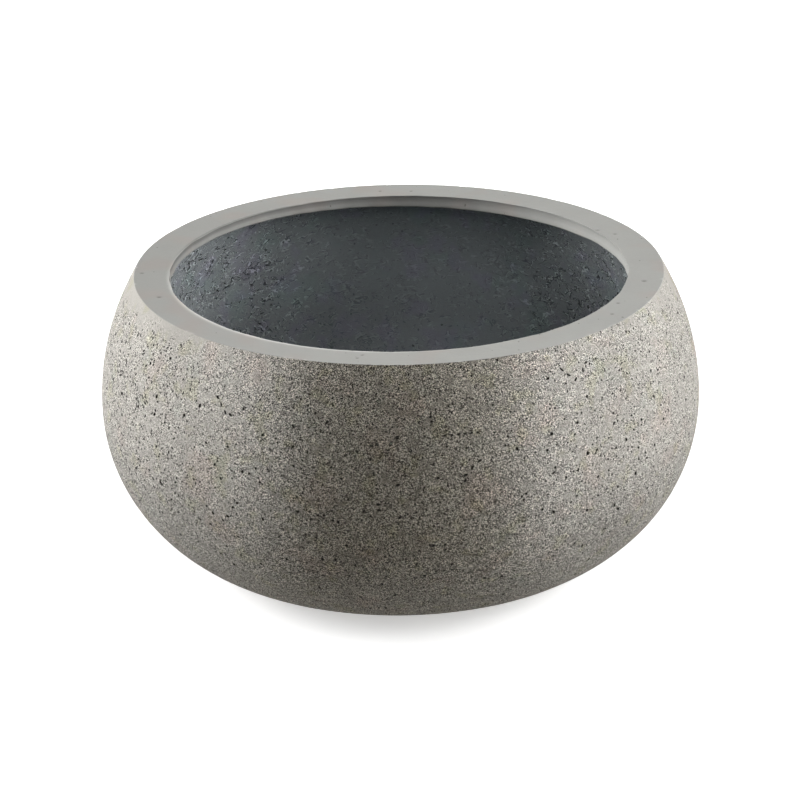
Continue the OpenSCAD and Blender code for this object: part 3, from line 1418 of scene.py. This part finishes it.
    def _marked_pits(self, mark: Mark, face: np.ndarray, draw: np.random.Generator) -> np.ndarray:
        """The pits that make up one mark: one, or a chain of narrow ones along a crack.

        Args:
            mark: The mark.
            face: The face's section.
            draw: Source of the chain's irregularity.

        Returns:
            A table of pits.
        """
        half_h = np.linalg.norm(face[1] - face[0])
        count = max(1, round(mark.length / (self.chain_step * half_h)))
        if not mark.length:
            narrow, drawn_out = 0.8, 1.0
        elif count == 1:
            narrow, drawn_out = 0.48, 1.5
        else:
            narrow, drawn_out = 0.42, 2.6
        share = np.linspace(-0.5, 0.5, count) if count > 1 else np.zeros(1)
        lean = math.radians(mark.lean)
        heights = mark.height + share * mark.length * math.sin(lean)
        rows_at = np.interp(heights, face[:, 1], np.arange(len(face)) / 2)
        radius = np.interp(heights, face[:, 1], face[:, 0])
        turn = math.radians(mark.azimuth) % TURN + share * mark.length * math.cos(lean) / radius
        columns_at = turn / TURN * self.around
        wide = mark.width / 2 * drawn_out
        limit = self.mark_room - wide / half_h
        pits = np.zeros(count, PIT)
        pits["row"] = np.floor(rows_at)
        pits["column"] = np.floor(columns_at) % self.around
        pits["aside"] = np.clip(2 * (columns_at % 1) - 1, -limit, limit)
        pits["up"] = np.clip(2 * (rows_at % 1) - 1, -limit, limit)
        pits["wide"] = wide / (TURN * radius / self.columns)
        pits["tall"] = wide * narrow / half_h
        pits["turn"] = lean + draw.normal(0, self.chain_wobble, count)
        pits["depth"] = self.mark_steepness * mark.width
        return pits

    def _pits(self, face: np.ndarray) -> np.ndarray:
        """All the pits. Where two fall in one block, a mark's goes before a strewn one.

        Args:
            face: The face's section.

        Returns:
            A table of pits.
        """
        draw = np.random.default_rng(self.pit_seed)
        strewn = self._strewn_pits(face, draw)
        marked = [self._marked_pits(mark, face, draw) for mark in self.marks]
        pits = np.concatenate([*marked[::-1], strewn])
        _, unique = np.unique(pits["row"] * self.around + pits["column"], return_index=True)
        return pits[np.sort(unique)]

    def _pit_rings(self, corner: np.ndarray, pits: np.ndarray) -> list[np.ndarray]:
        """The points of pits: a ring in the face, a narrower one sunk below it, and one shrunk to the bottom.

        Ring point = middle + S (cos a, sin a), with S the symmetric matrix that stretches along the pit.

        Args:
            corner: The four corners of each pit's block, anticlockwise from the lower left one.
            pits: The table of pits.

        Returns:
            For each of the three, eight points a pit.
        """
        right = (corner[:, 1] - corner[:, 0] + corner[:, 2] - corner[:, 3]) / 4
        up = (corner[:, 3] - corner[:, 0] + corner[:, 2] - corner[:, 1]) / 4
        inward = np.cross(up, right)
        inward /= np.linalg.norm(inward, axis=1, keepdims=True)
        wide, tall = pits["wide"], pits["tall"]
        cosine, sine = np.cos(pits["turn"]), np.sin(pits["turn"])
        slant = (wide - tall) * cosine * sine
        stretch = [wide * cosine**2 + tall * sine**2, slant, slant, wide * sine**2 + tall * cosine**2]
        stretch = np.stack(stretch, axis=-1).reshape(-1, 2, 2)
        draw = np.random.default_rng(self.rag_seed)
        ragged = draw.uniform(*self.pit_raggedness, (len(pits), 8, 1))
        ring = np.einsum("pij,kj->pki", stretch, arc((0, 0), 1, -135, 180, 8)) * ragged
        offset = np.stack([pits["aside"], pits["up"]], axis=-1)[:, None]
        found = []
        for spread, sink in ((1.0, 0.0), (self.throat_spread, self.throat_sink), (0.0, 1.0)):
            place = np.clip(offset + ring * spread, -self.pit_reach, self.pit_reach)
            level = corner.mean(1)[:, None] + place[..., :1] * right[:, None] + place[..., 1:] * up[:, None]
            found.append(level + inward[:, None] * (sink * pits["depth"])[:, None, None])
        return found

    def _pitted(self, points: np.ndarray, pits: np.ndarray) -> Surface:
        """Cuts the pits into the grid.

        In a pit's block, the four cells give way to a collar from the block's edge to the pit's mouth, a wall
        from there to its throat, and a floor from the throat to the block's middle point.

        Args:
            points: Points in rows and columns.
            pits: The table of pits.

        Returns:
            The closed surface, with the number `pit` that is 1 in the pits.
        """
        rows, columns = points.shape[:2]
        flat = points.reshape(-1, 3)
        low = self.base_rows + 2 * pits["row"].astype(int)
        left = 2 * pits["column"].astype(int)
        edge = (low[:, None] + BLOCK_EDGE[:, 0]) * columns + (left[:, None] + BLOCK_EDGE[:, 1]) % columns
        middle = (low + 1) * columns + (left + 1) % columns
        mouth, throat, bottom = self._pit_rings(flat[edge[:, ::2]], pits)
        flat[middle] = bottom[:, 0]
        mouth_at = len(flat) + np.arange(8 * len(pits)).reshape(-1, 8)
        throat_at = mouth_at + mouth_at.size
        floor = [throat_at, np.roll(throat_at, -1, axis=1), np.repeat(middle[:, None], 8, axis=1)]
        cut = np.zeros((rows, columns), bool)
        for down, across in ((0, 0), (0, 1), (1, 0), (1, 1)):
            cut[low + down, (left + across) % columns] = True
        faces = [
            rings(rows, columns, True)[~cut.ravel()],
            collar(edge, mouth_at),
            collar(mouth_at, throat_at),
            np.stack(floor, axis=-1).reshape(-1, 3),
        ]
        pit = np.zeros(len(flat) + 2 * mouth_at.size)
        pit[middle] = 1.0
        pit[mouth_at] = self.mouth_darkness
        pit[throat_at] = 1.0
        return Surface(np.vstack([flat, mouth.reshape(-1, 3), throat.reshape(-1, 3)]), faces, {"pit": pit})

    def build(self) -> None:
        """Makes the face and dresses the layers behind it."""
        section = self._section()
        surface = self._pitted(self._displaced(section), self._pits(section[self.face]))
        concrete = SpeckledConcrete(self.sizes.total_h, self.sizes.rim_r).material()
        add_piece("outer_face", surface, concrete, Body.BOWL, Slot.FACE, ["face_coat"])
        dress_node("fibre_mat", SoakedFibre().material())
        dress_node("bowl_shell", CoreConcrete().material())


# ---- Rim ----


@dataclass(frozen=True)
class Dent:
    """A shallow dimple in the rim's top, by its azimuth in degrees and its radius."""

    azimuth: float
    radius: float
    size: float = 1.8 * MM
    depth: float = 0.5 * MM


@dataclass
class Rim:
    """The turned-in rim: a trowelled top, a hand-cut lip that is slightly hollow, and edges with chips and
    wear.

    The lip is highest at `lip_azimuth`, in degrees, and opposite it. Its upper edge is roundest at
    `round_azimuth`.
    """

    sizes: BowlSizes
    columns: int = 1152
    lip_low: float = 10.0 * MM
    lip_high: float = 13.6 * MM
    lip_azimuth: float = 50.0
    round_azimuth: float = -150.0
    lip_draft: float = 0.7 * MM
    hollow: float = 1.1 * MM
    inner_edge_r: float = 1.3 * MM
    lip_edge_r: float = 1.6 * MM
    lap: float = 12 * MM
    arris_rows: int = 6
    edge_rows: int = 5
    top_rows: int = 24
    lip_rows: int = 14
    swell: Waves = Waves(7, 60 * MM)
    swell_depth: float = 0.12 * MM
    waver: Waves = Waves(9, 26 * MM)
    waver_reach: float = 0.25 * MM
    waver_fade: float = 5 * MM
    top_fade: float = 4 * MM
    worn_off: float = 0.1 * MM
    # The painted highlight along the mouth's edge: its reach, what that gains at the near left, its inset and
    # its drop
    highlight_reach: float = 0.9 * MM
    highlight_gain: float = 1.9 * MM
    highlight_inset: float = 0.8 * MM
    highlight_drop: float = 1.2 * MM
    lip_band: float = 3 * MM
    # How dark a dimple is painted, as the shade in it
    dent_darkness: float = 0.55
    chip_paleness: float = 0.45
    small_chips: int = 26
    chip_seed: int = 8
    chip_widths: Span = (1.0 * MM, 2.6 * MM)
    chip_depths: Span = (0.25 * MM, 0.8 * MM)
    # How far chips reach below the top, and over what stretch about the rim's outer edge they deepen
    chip_drop: float = 1.5 * MM
    chip_inset: float = 2.9 * MM
    chip_outset: float = 0.6 * MM
    bold_chip: float = 1.7
    # Dimples and bold chips in their places
    dents: tuple[Dent, ...] = (
        Dent(-164.2, 245.9 * MM, 2.2 * MM, 0.8 * MM),
        Dent(179.2, 256.2 * MM, 2.0 * MM),
        Dent(24.5, 241.3 * MM),
        Dent(-9.5, 245.9 * MM, 2.4 * MM, 0.7 * MM),
        Dent(-32.8, 246.4 * MM),
        Dent(-25.6, 237.6 * MM),
        Dent(-98.7, 239.4 * MM, 1.6 * MM),
        Dent(-99.5, 247.9 * MM, 1.6 * MM),
        Dent(94.3, 244.8 * MM, 1.6 * MM),
        Dent(86.7, 243.1 * MM, 1.6 * MM),
        Dent(29.1, 232.2 * MM, 1.6 * MM),
    )
    chips: tuple[float, ...] = (-95.3, -92.1, -88.8, 104.8, 92.0, 75.0, -140.0, -38.0, 150.0, 20.0, 51.0)

    @property
    def inner_r(self) -> float:
        """Radius of the lip's lower edge."""
        return self.sizes.mouth_r - self.lip_draft

    def lip_height(self, turn: np.ndarray) -> np.ndarray:
        """How high the hand-cut lip is at angles in radians: a wave that repeats twice in a turn."""
        return self.lip_low + (self.lip_high - self.lip_low) * facing(2 * turn, 2 * self.lip_azimuth)

    def _points(self) -> np.ndarray:
        """The rim's points, anticlockwise from the lip's lower edge: underside, wall side, top, lip.

        Returns:
            Points in rows and columns.
        """
        s = self.sizes
        middle, lean = s.arris()
        seat = s.rim_under
        hidden_r = s.wall(np.array([s.along_at(seat, s.coat_t)]), s.coat_t)[0, 0]
        bed = [s.rim_r - s.rim_bed, s.total_h - s.rim_bed]
        outer = arc(middle, s.arris_r, lean, 90, self.arris_rows)
        top = line(outer[-1], (s.mouth_r + self.inner_edge_r, s.total_h), self.top_rows)[1:]
        fixed = np.vstack([[[self.inner_r + self.lap, seat], [hidden_r, seat], bed], outer, top])
        return np.concatenate([spin(fixed, self.columns), self._lip()])

    def _lip(self) -> np.ndarray:
        """The lip's points, downwards: a rounded edge, a hollow face and a rounded lower edge.

        The face is r = mouth + 2 hollow sin(pi t)^0.7 (1 - t) - draft t, at a share t of its height.

        Returns:
            Points in rows and columns.
        """
        s = self.sizes
        turn = full_turn(self.columns)
        lip = self.lip_height(turn)
        edge_r = self.inner_edge_r * (0.25 + 0.75 * facing(turn, self.round_azimuth, 2))
        upper = np.radians(np.linspace(90, 180, self.edge_rows))[:-1, None]
        lower = np.radians(np.linspace(180, 270, self.edge_rows))[1:, None]
        share = np.linspace(0, 1, self.lip_rows + 1)[:, None]
        hollow = 2 * self.hollow * np.sin(math.pi * share) ** 0.7 * (1 - share)
        face_z = s.total_h - edge_r - share * (1 - edge_r / lip) * (lip - self.lip_edge_r)
        radius = [
            s.mouth_r + edge_r * (1 + np.cos(upper)),
            s.mouth_r + hollow - self.lip_draft * share + 0 * lip,
            self.inner_r + self.lip_edge_r * (1 + np.cos(lower)) + 0 * lip,
        ]
        height = [
            s.total_h - edge_r * (1 - np.sin(upper)),
            face_z,
            face_z[-1] + self.lip_edge_r * np.sin(lower),
        ]
        return about_axis(np.vstack(radius), turn, np.vstack(height))

    def _dimples(self, points: np.ndarray) -> tuple[np.ndarray, np.ndarray]:
        """Dimples and a slow wave in the rim's top.

        Args:
            points: Points in rows and columns.

        Returns:
            How far each point sinks, and how dark a dimple makes it.
        """
        s = self.sizes
        radius, _ = polar(points)
        at_top = points[..., 2] > s.total_h - SKIN
        from_mouth = ramp(radius, s.mouth_r, s.mouth_r + self.top_fade)
        flat = from_mouth * ramp(radius, s.rim_r, s.rim_r - self.top_fade)
        sink = at_top * flat * self.swell_depth * (1 - self.swell.bounded(points))
        pit = np.zeros(radius.shape)
        for dent in self.dents:
            angle = math.radians(dent.azimuth)
            middle = dent.radius * np.array([math.cos(angle), math.sin(angle)])
            dimple = bell(np.linalg.norm(points[..., :2] - middle, axis=-1), dent.size, 4) * at_top
            sink += dent.depth * dimple
            pit += self.dent_darkness * dimple
        return sink, pit

    def _chipped(self, points: np.ndarray) -> tuple[np.ndarray, np.ndarray]:
        """Chips in the rim's outer arris: bold ones in their places and small ones anywhere.

        Args:
            points: Points in rows and columns.

        Returns:
            How far each point sinks, and how deep it lies in a chip, from 0 to 1.
        """
        s = self.sizes
        radius, turn = polar(points)
        at_top = points[..., 2] > s.total_h - self.chip_drop
        near_arris = ramp(radius, s.rim_r - self.chip_inset, s.rim_r + self.chip_outset) * at_top
        sink, chips = np.zeros(radius.shape), np.zeros(radius.shape)
        draw = np.random.default_rng(self.chip_seed)
        for azimuth in (*self.chips, *draw.uniform(-180, 180, self.small_chips)):
            gap = (turn - math.radians(azimuth) + math.pi) % TURN - math.pi
            bold = self.bold_chip if azimuth in self.chips else 1.0
            width = draw.uniform(*self.chip_widths) * bold
            chip = bell(gap * s.rim_r, width) * near_arris
            sink += draw.uniform(*self.chip_depths) * bold * chip
            chips = np.maximum(chips, chip)
        return sink, chips

    def _wear(self, points: np.ndarray) -> tuple[np.ndarray, np.ndarray]:
        """Wears the rim: dimples in its top, chips in its outer arris, a wavering inner edge.

        Args:
            points: Points in rows and columns, changed in place.

        Returns:
            How dark a dimple makes each point, and how deep it lies in a chip.
        """
        radius, turn = polar(points)
        sink, pit = self._dimples(points)
        chip_sink, chips = self._chipped(points)
        points[..., 2] -= sink + chip_sink
        inner = ramp(radius, self.sizes.mouth_r + self.waver_fade, self.sizes.mouth_r)
        waver = self.waver_reach * self.waver.at(points) * inner
        out = np.clip(waver, -2 * self.waver_reach, 2 * self.waver_reach) + self.worn_off * inner
        points[..., 0] += out * np.cos(turn)
        points[..., 1] += out * np.sin(turn)
        return pit, chips

    def _tone(self, points: np.ndarray) -> np.ndarray:
        """How much lighter or darker than the top each point is: a painted highlight along the mouth's arris,
        painted shade on the lip, and the rim lighter towards the front and darker towards the left.

        Args:
            points: Points in rows and columns.

        Returns:
            One value a point, 0 for the top's own tone and 1 for twice as light.
        """
        s = self.sizes
        radius, turn = polar(points)
        below = s.total_h - points[..., 2]
        left, front = facing(turn, 180), facing(turn, -90, 2)
        near_left, far_left = facing(turn, -135, 5), facing(turn, 148, 8)
        reach = self.highlight_reach + self.highlight_gain * near_left
        arris = bell(radius - s.mouth_r - self.highlight_inset, reach) * bell(below, self.highlight_drop)
        # Painted highlight along the mouth's arris, strongest at the near left and weaker at the far left
        arris_highlight = arris * (0.04 + 0.95 * near_left - 0.40 * far_left)
        share = below / self.lip_height(turn)
        on_lip = (radius < s.mouth_r + self.lip_band) * ramp(share, 0.08, 0.18) * ramp(share, 1.0, 0.8)
        # Painted shade on the lip, strongest at the left and in its upper part under the arris
        lip_shade = on_lip * (0.10 + 0.32 * left) * (0.72 + 0.62 * ramp(share, 0.62, 0.42))
        return arris_highlight + 0.09 * front - 0.12 * left**4 - lip_shade

    def build(self) -> None:
        """Makes the rim and dresses the hoop inside it."""
        points = self._points()
        pit, chips = self._wear(points)
        surface = closed_grid(points)
        surface.numbers["pit"] = pit.ravel()
        surface.numbers["tone"] = (self._tone(points) + self.chip_paleness * chips).ravel()
        add_piece("trowelled_rim", surface, TrowelledConcrete().material(), Body.BOWL, Slot.RIM, ["rim_ring"])
        dress_node("rim_hoop", ZincWire().material())


# ---- Inside ----


@dataclass
class Inside:
    """The dark lining, laid on by brush over the wall, the floor and the rim's underside."""

    sizes: BowlSizes
    rim: Rim
    columns: int = 480
    draft_rows: int = 400
    even_rows: int = 900
    ease: int = 9
    face_rows: int = 168
    back_draft_rows: int = 60
    back_rows: int = 14
    lumps: Waves = Waves(19, 34 * MM, 32)
    lump_depth: float = 0.45 * MM
    strokes: Waves = Waves(20, 8 * MM, 40)
    stroke_depth: float = 0.16 * MM
    fade_share: float = 0.02
    lip_gap: float = 2.3 * MM
    # How far out from the mouth the lap begins to hang, and where it hangs as low as the lip ends
    lap_level: float = 9 * MM
    lap_hung: float = 1 * MM

    def _outline(self, skin: float, rows: int) -> np.ndarray:
        """The outline of the room at a distance inside the wall.

        Args:
            skin: The distance from the wall, the floor and the rim's underside.
            rows: How many points the floor and the wall each have.

        Returns:
            Radius and height from the drain to the mouth.
        """
        s = self.sizes
        depth = s.wall_back + skin
        floor, ceiling = s.floor_z + skin, s.rim_under - skin
        wall = s.wall(np.linspace(s.along_at(floor, depth), s.along_at(ceiling, depth), rows), depth)
        lap = [s.mouth_r + self.lip_gap, ceiling]
        start = line((s.lining_hole_r, floor), wall[0], rows)
        return np.vstack([start, wall, line(wall[-1], lap, rows // 2), [lap]])

    def _hang(self, points: np.ndarray) -> None:
        """Lowers the lap under the rim to where the hand-cut lip ends.

        Args:
            points: Points in rows and columns, changed in place.
        """
        s = self.sizes
        radius, turn = polar(points)
        lap = smooth_ramp(radius, s.mouth_r + self.lap_level, s.mouth_r + self.lap_hung)
        lap *= points[..., 2] > s.belly_h
        points[..., 2] -= lap * (self.rim.lip_height(turn) - s.rim_t)

    def build(self) -> None:
        """Makes the lining, its hidden back from the drain to the mouth and its face back to the drain."""
        back = evenly(self._outline(0.0, self.back_draft_rows), self.back_rows)
        draft = evenly(self._outline(self.sizes.lining_t, self.draft_rows), self.even_rows)
        face = evenly(eased(draft, self.ease), self.face_rows)[::-1]
        points = spin(np.vstack([back, face]), self.columns)
        inner = points[len(back) :]
        lumps = self.lump_depth * (1 + self.lumps.bounded(inner, 1.0)) / 2
        strokes = self.stroke_depth * (1 + self.strokes.bounded(inner, 1.0)) / 2
        share = np.linspace(0, 1, len(face))
        fade = ramp(np.minimum(share, 1 - share), 0, self.fade_share)[:, None]
        relief = (lumps + strokes) * fade
        inner += spin(outward(face), self.columns) * relief[..., None]
        self._hang(points)
        coat = BrushedLining().material()
        add_piece("brushed_lining", closed_grid(points), coat, Body.BOWL, Slot.LINING, ["inner_lining"])


# ---- Drain ----


@dataclass
class Drain:
    """The plastic sleeve in the base and the rubber stopper with its finger loop."""

    sizes: BowlSizes
    columns: int = 96
    core_r: float = 10 * MM
    nose_r: float = 1 * MM
    seal_r: float = 10.92 * MM
    seal_h: float = 1.6 * MM
    head_r: float = 18 * MM
    head_t: float = 4 * MM
    head_edge_r: float = 2 * MM
    bevel: float = 0.3 * MM
    dish_depth: float = 0.15 * MM
    dish_inset: float = 4.5 * MM
    dish_pole_r: float = 0.5 * MM
    bottom_z: float = 4.5 * MM
    loop_r: float = 9 * MM
    loop_hole_r: float = 6 * MM
    loop_t: float = 4 * MM
    loop_sink: float = 1 * MM
    loop_rows: int = 72
    band_columns: int = 20
    squareness: float = 0.45
    rubber: Moulded = Moulded("black_rubber", (0.020, 0.020, 0.021), 0.62)
    plastic: Moulded = Moulded("black_plastic", (0.030, 0.030, 0.032), 0.45)

    def _stopper(self) -> Surface:
        """The turned body: a bevelled nose, two round sealing rings and a head with a shallow dish.

        Returns:
            The surface.
        """
        seat = self.sizes.floor_z
        top = seat + self.head_t
        dish = top - self.dish_depth
        nose = (self.core_r - self.nose_r, self.bottom_z + self.nose_r)
        head_edge = (self.head_r - self.head_edge_r, top - self.head_edge_r)
        half_ring = arc((0, 0), 1, -90, 90, 9) * (self.seal_r - self.core_r, self.seal_h / 2)
        pitch = (seat - self.bottom_z) / 3
        section = [
            [[0, self.bottom_z], [self.core_r - 1.2 * self.nose_r, self.bottom_z]],
            arc(nose, self.nose_r, -80, 0, 6),
            *(half_ring + (self.core_r, self.bottom_z + i * pitch) for i in (1, 2)),
            [[self.core_r, seat], [self.head_r - self.bevel, seat], [self.head_r, seat + self.bevel]],
            arc(head_edge, self.head_edge_r, 0, 82, 8),
            line((self.head_r - self.dish_inset, dish), (self.dish_pole_r, dish), 10),
            [[0, dish]],
        ]
        return turned_solid(np.vstack(section), self.columns)

    def _loop(self) -> Surface:
        """The finger loop: a band with rounded edges round its hole, widening to a foot on the head.

        Point (a, b) = middle + (m + h c(b)) (cos a, sin a) across the loop and t s(b) through it. There m is
        the mean of the band's two radii at the angle a, h is half their difference, t is half the band's
        thickness, and c and s are the cosine and the sine drawn out towards a square.

        Returns:
            The surface.
        """
        middle = self.sizes.floor_z + self.head_t + self.loop_hole_r
        angle = full_turn(self.loop_rows)[:, None]
        around_band = full_turn(self.band_columns)
        side = self.loop_r / np.maximum(np.abs(np.cos(angle)), 1e-3)
        foot = (self.loop_hole_r + self.loop_sink) / np.maximum(-np.sin(angle), 1e-3)
        outer = np.where(np.sin(angle) >= 0, self.loop_r, np.minimum(side, foot))
        mean, half = (outer + self.loop_hole_r) / 2, (outer - self.loop_hole_r) / 2

        def squared(value: np.ndarray) -> np.ndarray:
            """A cosine or sine drawn out towards a square."""
            return np.sign(value) * np.abs(value) ** self.squareness

        reach = mean + half * squared(np.cos(around_band))
        through = self.loop_t / 2 * squared(np.sin(around_band)) + 0 * angle
        points = [reach * np.cos(angle), through, middle + reach * np.sin(angle)]
        return closed_grid(np.stack(points, axis=-1))

    def build(self) -> None:
        """Makes the stopper and dresses the sleeve."""
        rubber = self.rubber.material()
        surface = self._stopper().joined(self._loop())
        add_piece("loop_stopper", surface, rubber, Body.STOPPER, Slot.RUBBER, ["drain_plug"])
        dress_node("drain_sleeve", self.plastic.material())


# ---- Feet ----


@dataclass
class Feet:
    """Four rubber pads with ringed soles."""

    count: int = 4
    columns: int = 64
    at_r: float = 136 * MM
    pad_r: float = 16 * MM
    thick: float = 3 * MM
    edge_r: float = 0.8 * MM
    bevel: float = 0.2 * MM
    grooves: tuple[float, ...] = (4 * MM, 8 * MM, 12 * MM)
    groove_mouth: float = 0.8 * MM
    groove_bottom: float = 0.5 * MM
    groove_depth: float = 0.5 * MM
    rubber: Moulded = Moulded("pad_rubber", (0.030, 0.030, 0.031), 0.75)

    def _section(self) -> np.ndarray:
        """The pad's section from the middle of its sole to the middle of its top.

        Returns:
            Radius and height of each point.
        """
        mouth, bottom = self.groove_mouth, self.groove_bottom
        sole = [[0.0, 0.0]]
        for middle in self.grooves:
            for out, up in ((-mouth, 0), (-bottom, 1), (bottom, 1), (mouth, 0)):
                sole.append([middle + out, up * self.groove_depth])
        edge = arc((self.pad_r - self.edge_r, self.edge_r), self.edge_r, -90, 0, 7)
        bevel = [[self.pad_r, self.thick - self.bevel], [self.pad_r - self.bevel, self.thick]]
        return np.vstack([sole, edge, bevel, [[0.0, self.thick]]])

    def build(self) -> None:
        """Makes the pads."""
        rubber = self.rubber.material()
        for i, angle in enumerate(full_turn(self.count)):
            surface = turned_solid(self._section(), self.columns)
            surface.points += about_axis(self.at_r, angle, 0)
            add_piece(f"ringed_pad_{i + 1}", surface, rubber, Body.BOWL, Slot.PAD, [f"foot_pad_{i + 1}"])


# ---- Studio ----


@dataclass(frozen=True)
class Softbox:
    """A soft light, by its direction from the bowl in degrees and its power in watts."""

    name: str
    azimuth: float
    elevation: float
    power: float
    width: float = 1.6
    height: float = 1.6
    distance: float = 3.0

    def build(self, target: Vector) -> None:
        """Makes the light.

        Args:
            target: The point that it is aimed at.
        """
        azimuth, elevation = math.radians(self.azimuth), math.radians(self.elevation)
        level = math.cos(elevation)
        away = Vector((level * math.cos(azimuth), level * math.sin(azimuth), math.sin(elevation)))
        lamp = bpy.data.lights.new(self.name, "AREA")
        lamp.shape = "RECTANGLE"
        lamp.size, lamp.size_y = self.width, self.height
        lamp.energy = self.power
        light = bpy.data.objects.new(self.name, lamp)
        light.location = target + away * self.distance
        light.rotation_mode = "QUATERNION"
        light.rotation_quaternion = (-away).to_track_quat("-Z", "Y")
        light.visible_camera = False
        bpy.context.scene.collection.objects.link(light)


def axes(side: Vector, ahead: Vector) -> Matrix:
    """A matrix whose columns are the directions to the side, up and back."""
    return Matrix((side, side.cross(ahead), -ahead)).transposed()


@dataclass
class Studio:
    """Pale floor, soft light and the photograph's camera."""

    sizes: BowlSizes
    distance: float = 5.5
    elevation: float = 19.83
    focal_pixels: float = 1.003 * 5500
    rim_pixel: tuple[float, float] = (398.80, 270.55)
    roll: float = 0.82
    floor_half: float = 20.0
    floor_gap: float = 0.1 * MM
    floor_glow: Colour = (0.234, 0.219, 0.193)
    horizon: float = 0.15
    softboxes: tuple[Softbox, ...] = (
        Softbox("left_low_box", 168, 4, 32),
        Softbox("left_box", 168, 18, 141),
        Softbox("left_top_box", 140, 60, 17),
        Softbox("right_front_box", -12, 18, 61),
        Softbox("right_back_box", 12, 18, 97),
        Softbox("front_box", -90, 40, 18),
        Softbox("back_box", 90, 50, 5),
    )

    def _camera(self) -> None:
        """Makes the camera, turned so that the rim's middle falls on its pixel, and rolled a little."""
        elevation, roll = math.radians(self.elevation), math.radians(self.roll)
        rim = Vector((0, 0, self.sizes.total_h))
        toward = Vector((0, math.cos(elevation), -math.sin(elevation)))
        right = (self.rim_pixel[0] - IMAGE_SIDE / 2) / self.focal_pixels
        down = (self.rim_pixel[1] - IMAGE_SIDE / 2) / self.focal_pixels
        seen = Vector((right, -down, -1)).normalized()
        level = Vector((math.cos(roll), math.sin(roll), 0))
        level.z = -level.dot(seen) / seen.z
        turn = axes(Vector((1, 0, 0)), toward) @ axes(level.normalized(), seen).transposed()
        data = bpy.data.cameras.new("photo_camera")
        data.sensor_width = SENSOR_WIDTH
        data.lens = self.focal_pixels / IMAGE_SIDE * SENSOR_WIDTH
        camera = bpy.data.objects.new("photo_camera", data)
        camera.matrix_world = Matrix.Translation(rim - toward * self.distance) @ turn.to_4x4()
        bpy.context.scene.collection.objects.link(camera)
        bpy.context.scene.camera = camera

    def _floor(self) -> None:
        """Makes the floor, which gives no light back to the bowl: the world stands for its faint glow."""
        half, height = self.floor_half, -self.floor_gap
        corners = [[x * half, y * half, height] for x, y in ((-1, -1), (1, -1), (1, 1), (-1, 1))]
        mesh = Surface(np.array(corners), [np.array([[0, 1, 2, 3]])]).build("studio_floor")
        floor = bpy.data.objects.new("studio_floor", mesh)
        floor.data.materials.append(PaleFloor().material())
        floor.visible_diffuse = False
        bpy.context.scene.collection.objects.link(floor)

    def _world(self) -> None:
        """Makes the faint even light that a pale floor gives back from below, fading out at the horizon."""
        world = bpy.data.worlds.new("studio_world")
        g = ShaderGraph(world, "Generated")
        below = g.along("Z").rise(self.horizon, -self.horizon)
        glow = g.take("ShaderNodeBackground", {}, {"Color": self.floor_glow, "Strength": below})
        g.add("ShaderNodeOutputWorld", {}, {"Surface": glow})
        bpy.context.scene.world = world

    def build(self) -> None:
        """Makes the studio."""
        self._camera()
        self._floor()
        self._world()
        for box in self.softboxes:
            box.build(Vector((0, 0, self.sizes.belly_h)))
        bpy.context.scene.view_settings.view_transform = "Standard"
        LOG.info("studio: %d soft boxes", len(self.softboxes))


def main() -> None:
    """Builds the planter's sub-assemblies and the studio."""
    logging.basicConfig(level=logging.INFO, format="%(name)s: %(message)s")
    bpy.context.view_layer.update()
    sizes = BowlSizes()
    rim = Rim(sizes)
    for assembly in (BowlWall(sizes), rim, Inside(sizes, rim), Drain(sizes), Feet(), Studio(sizes)):
        assembly.build()
        LOG.info("%s is built", type(assembly).__name__)


if __name__ == "__main__":
    main()
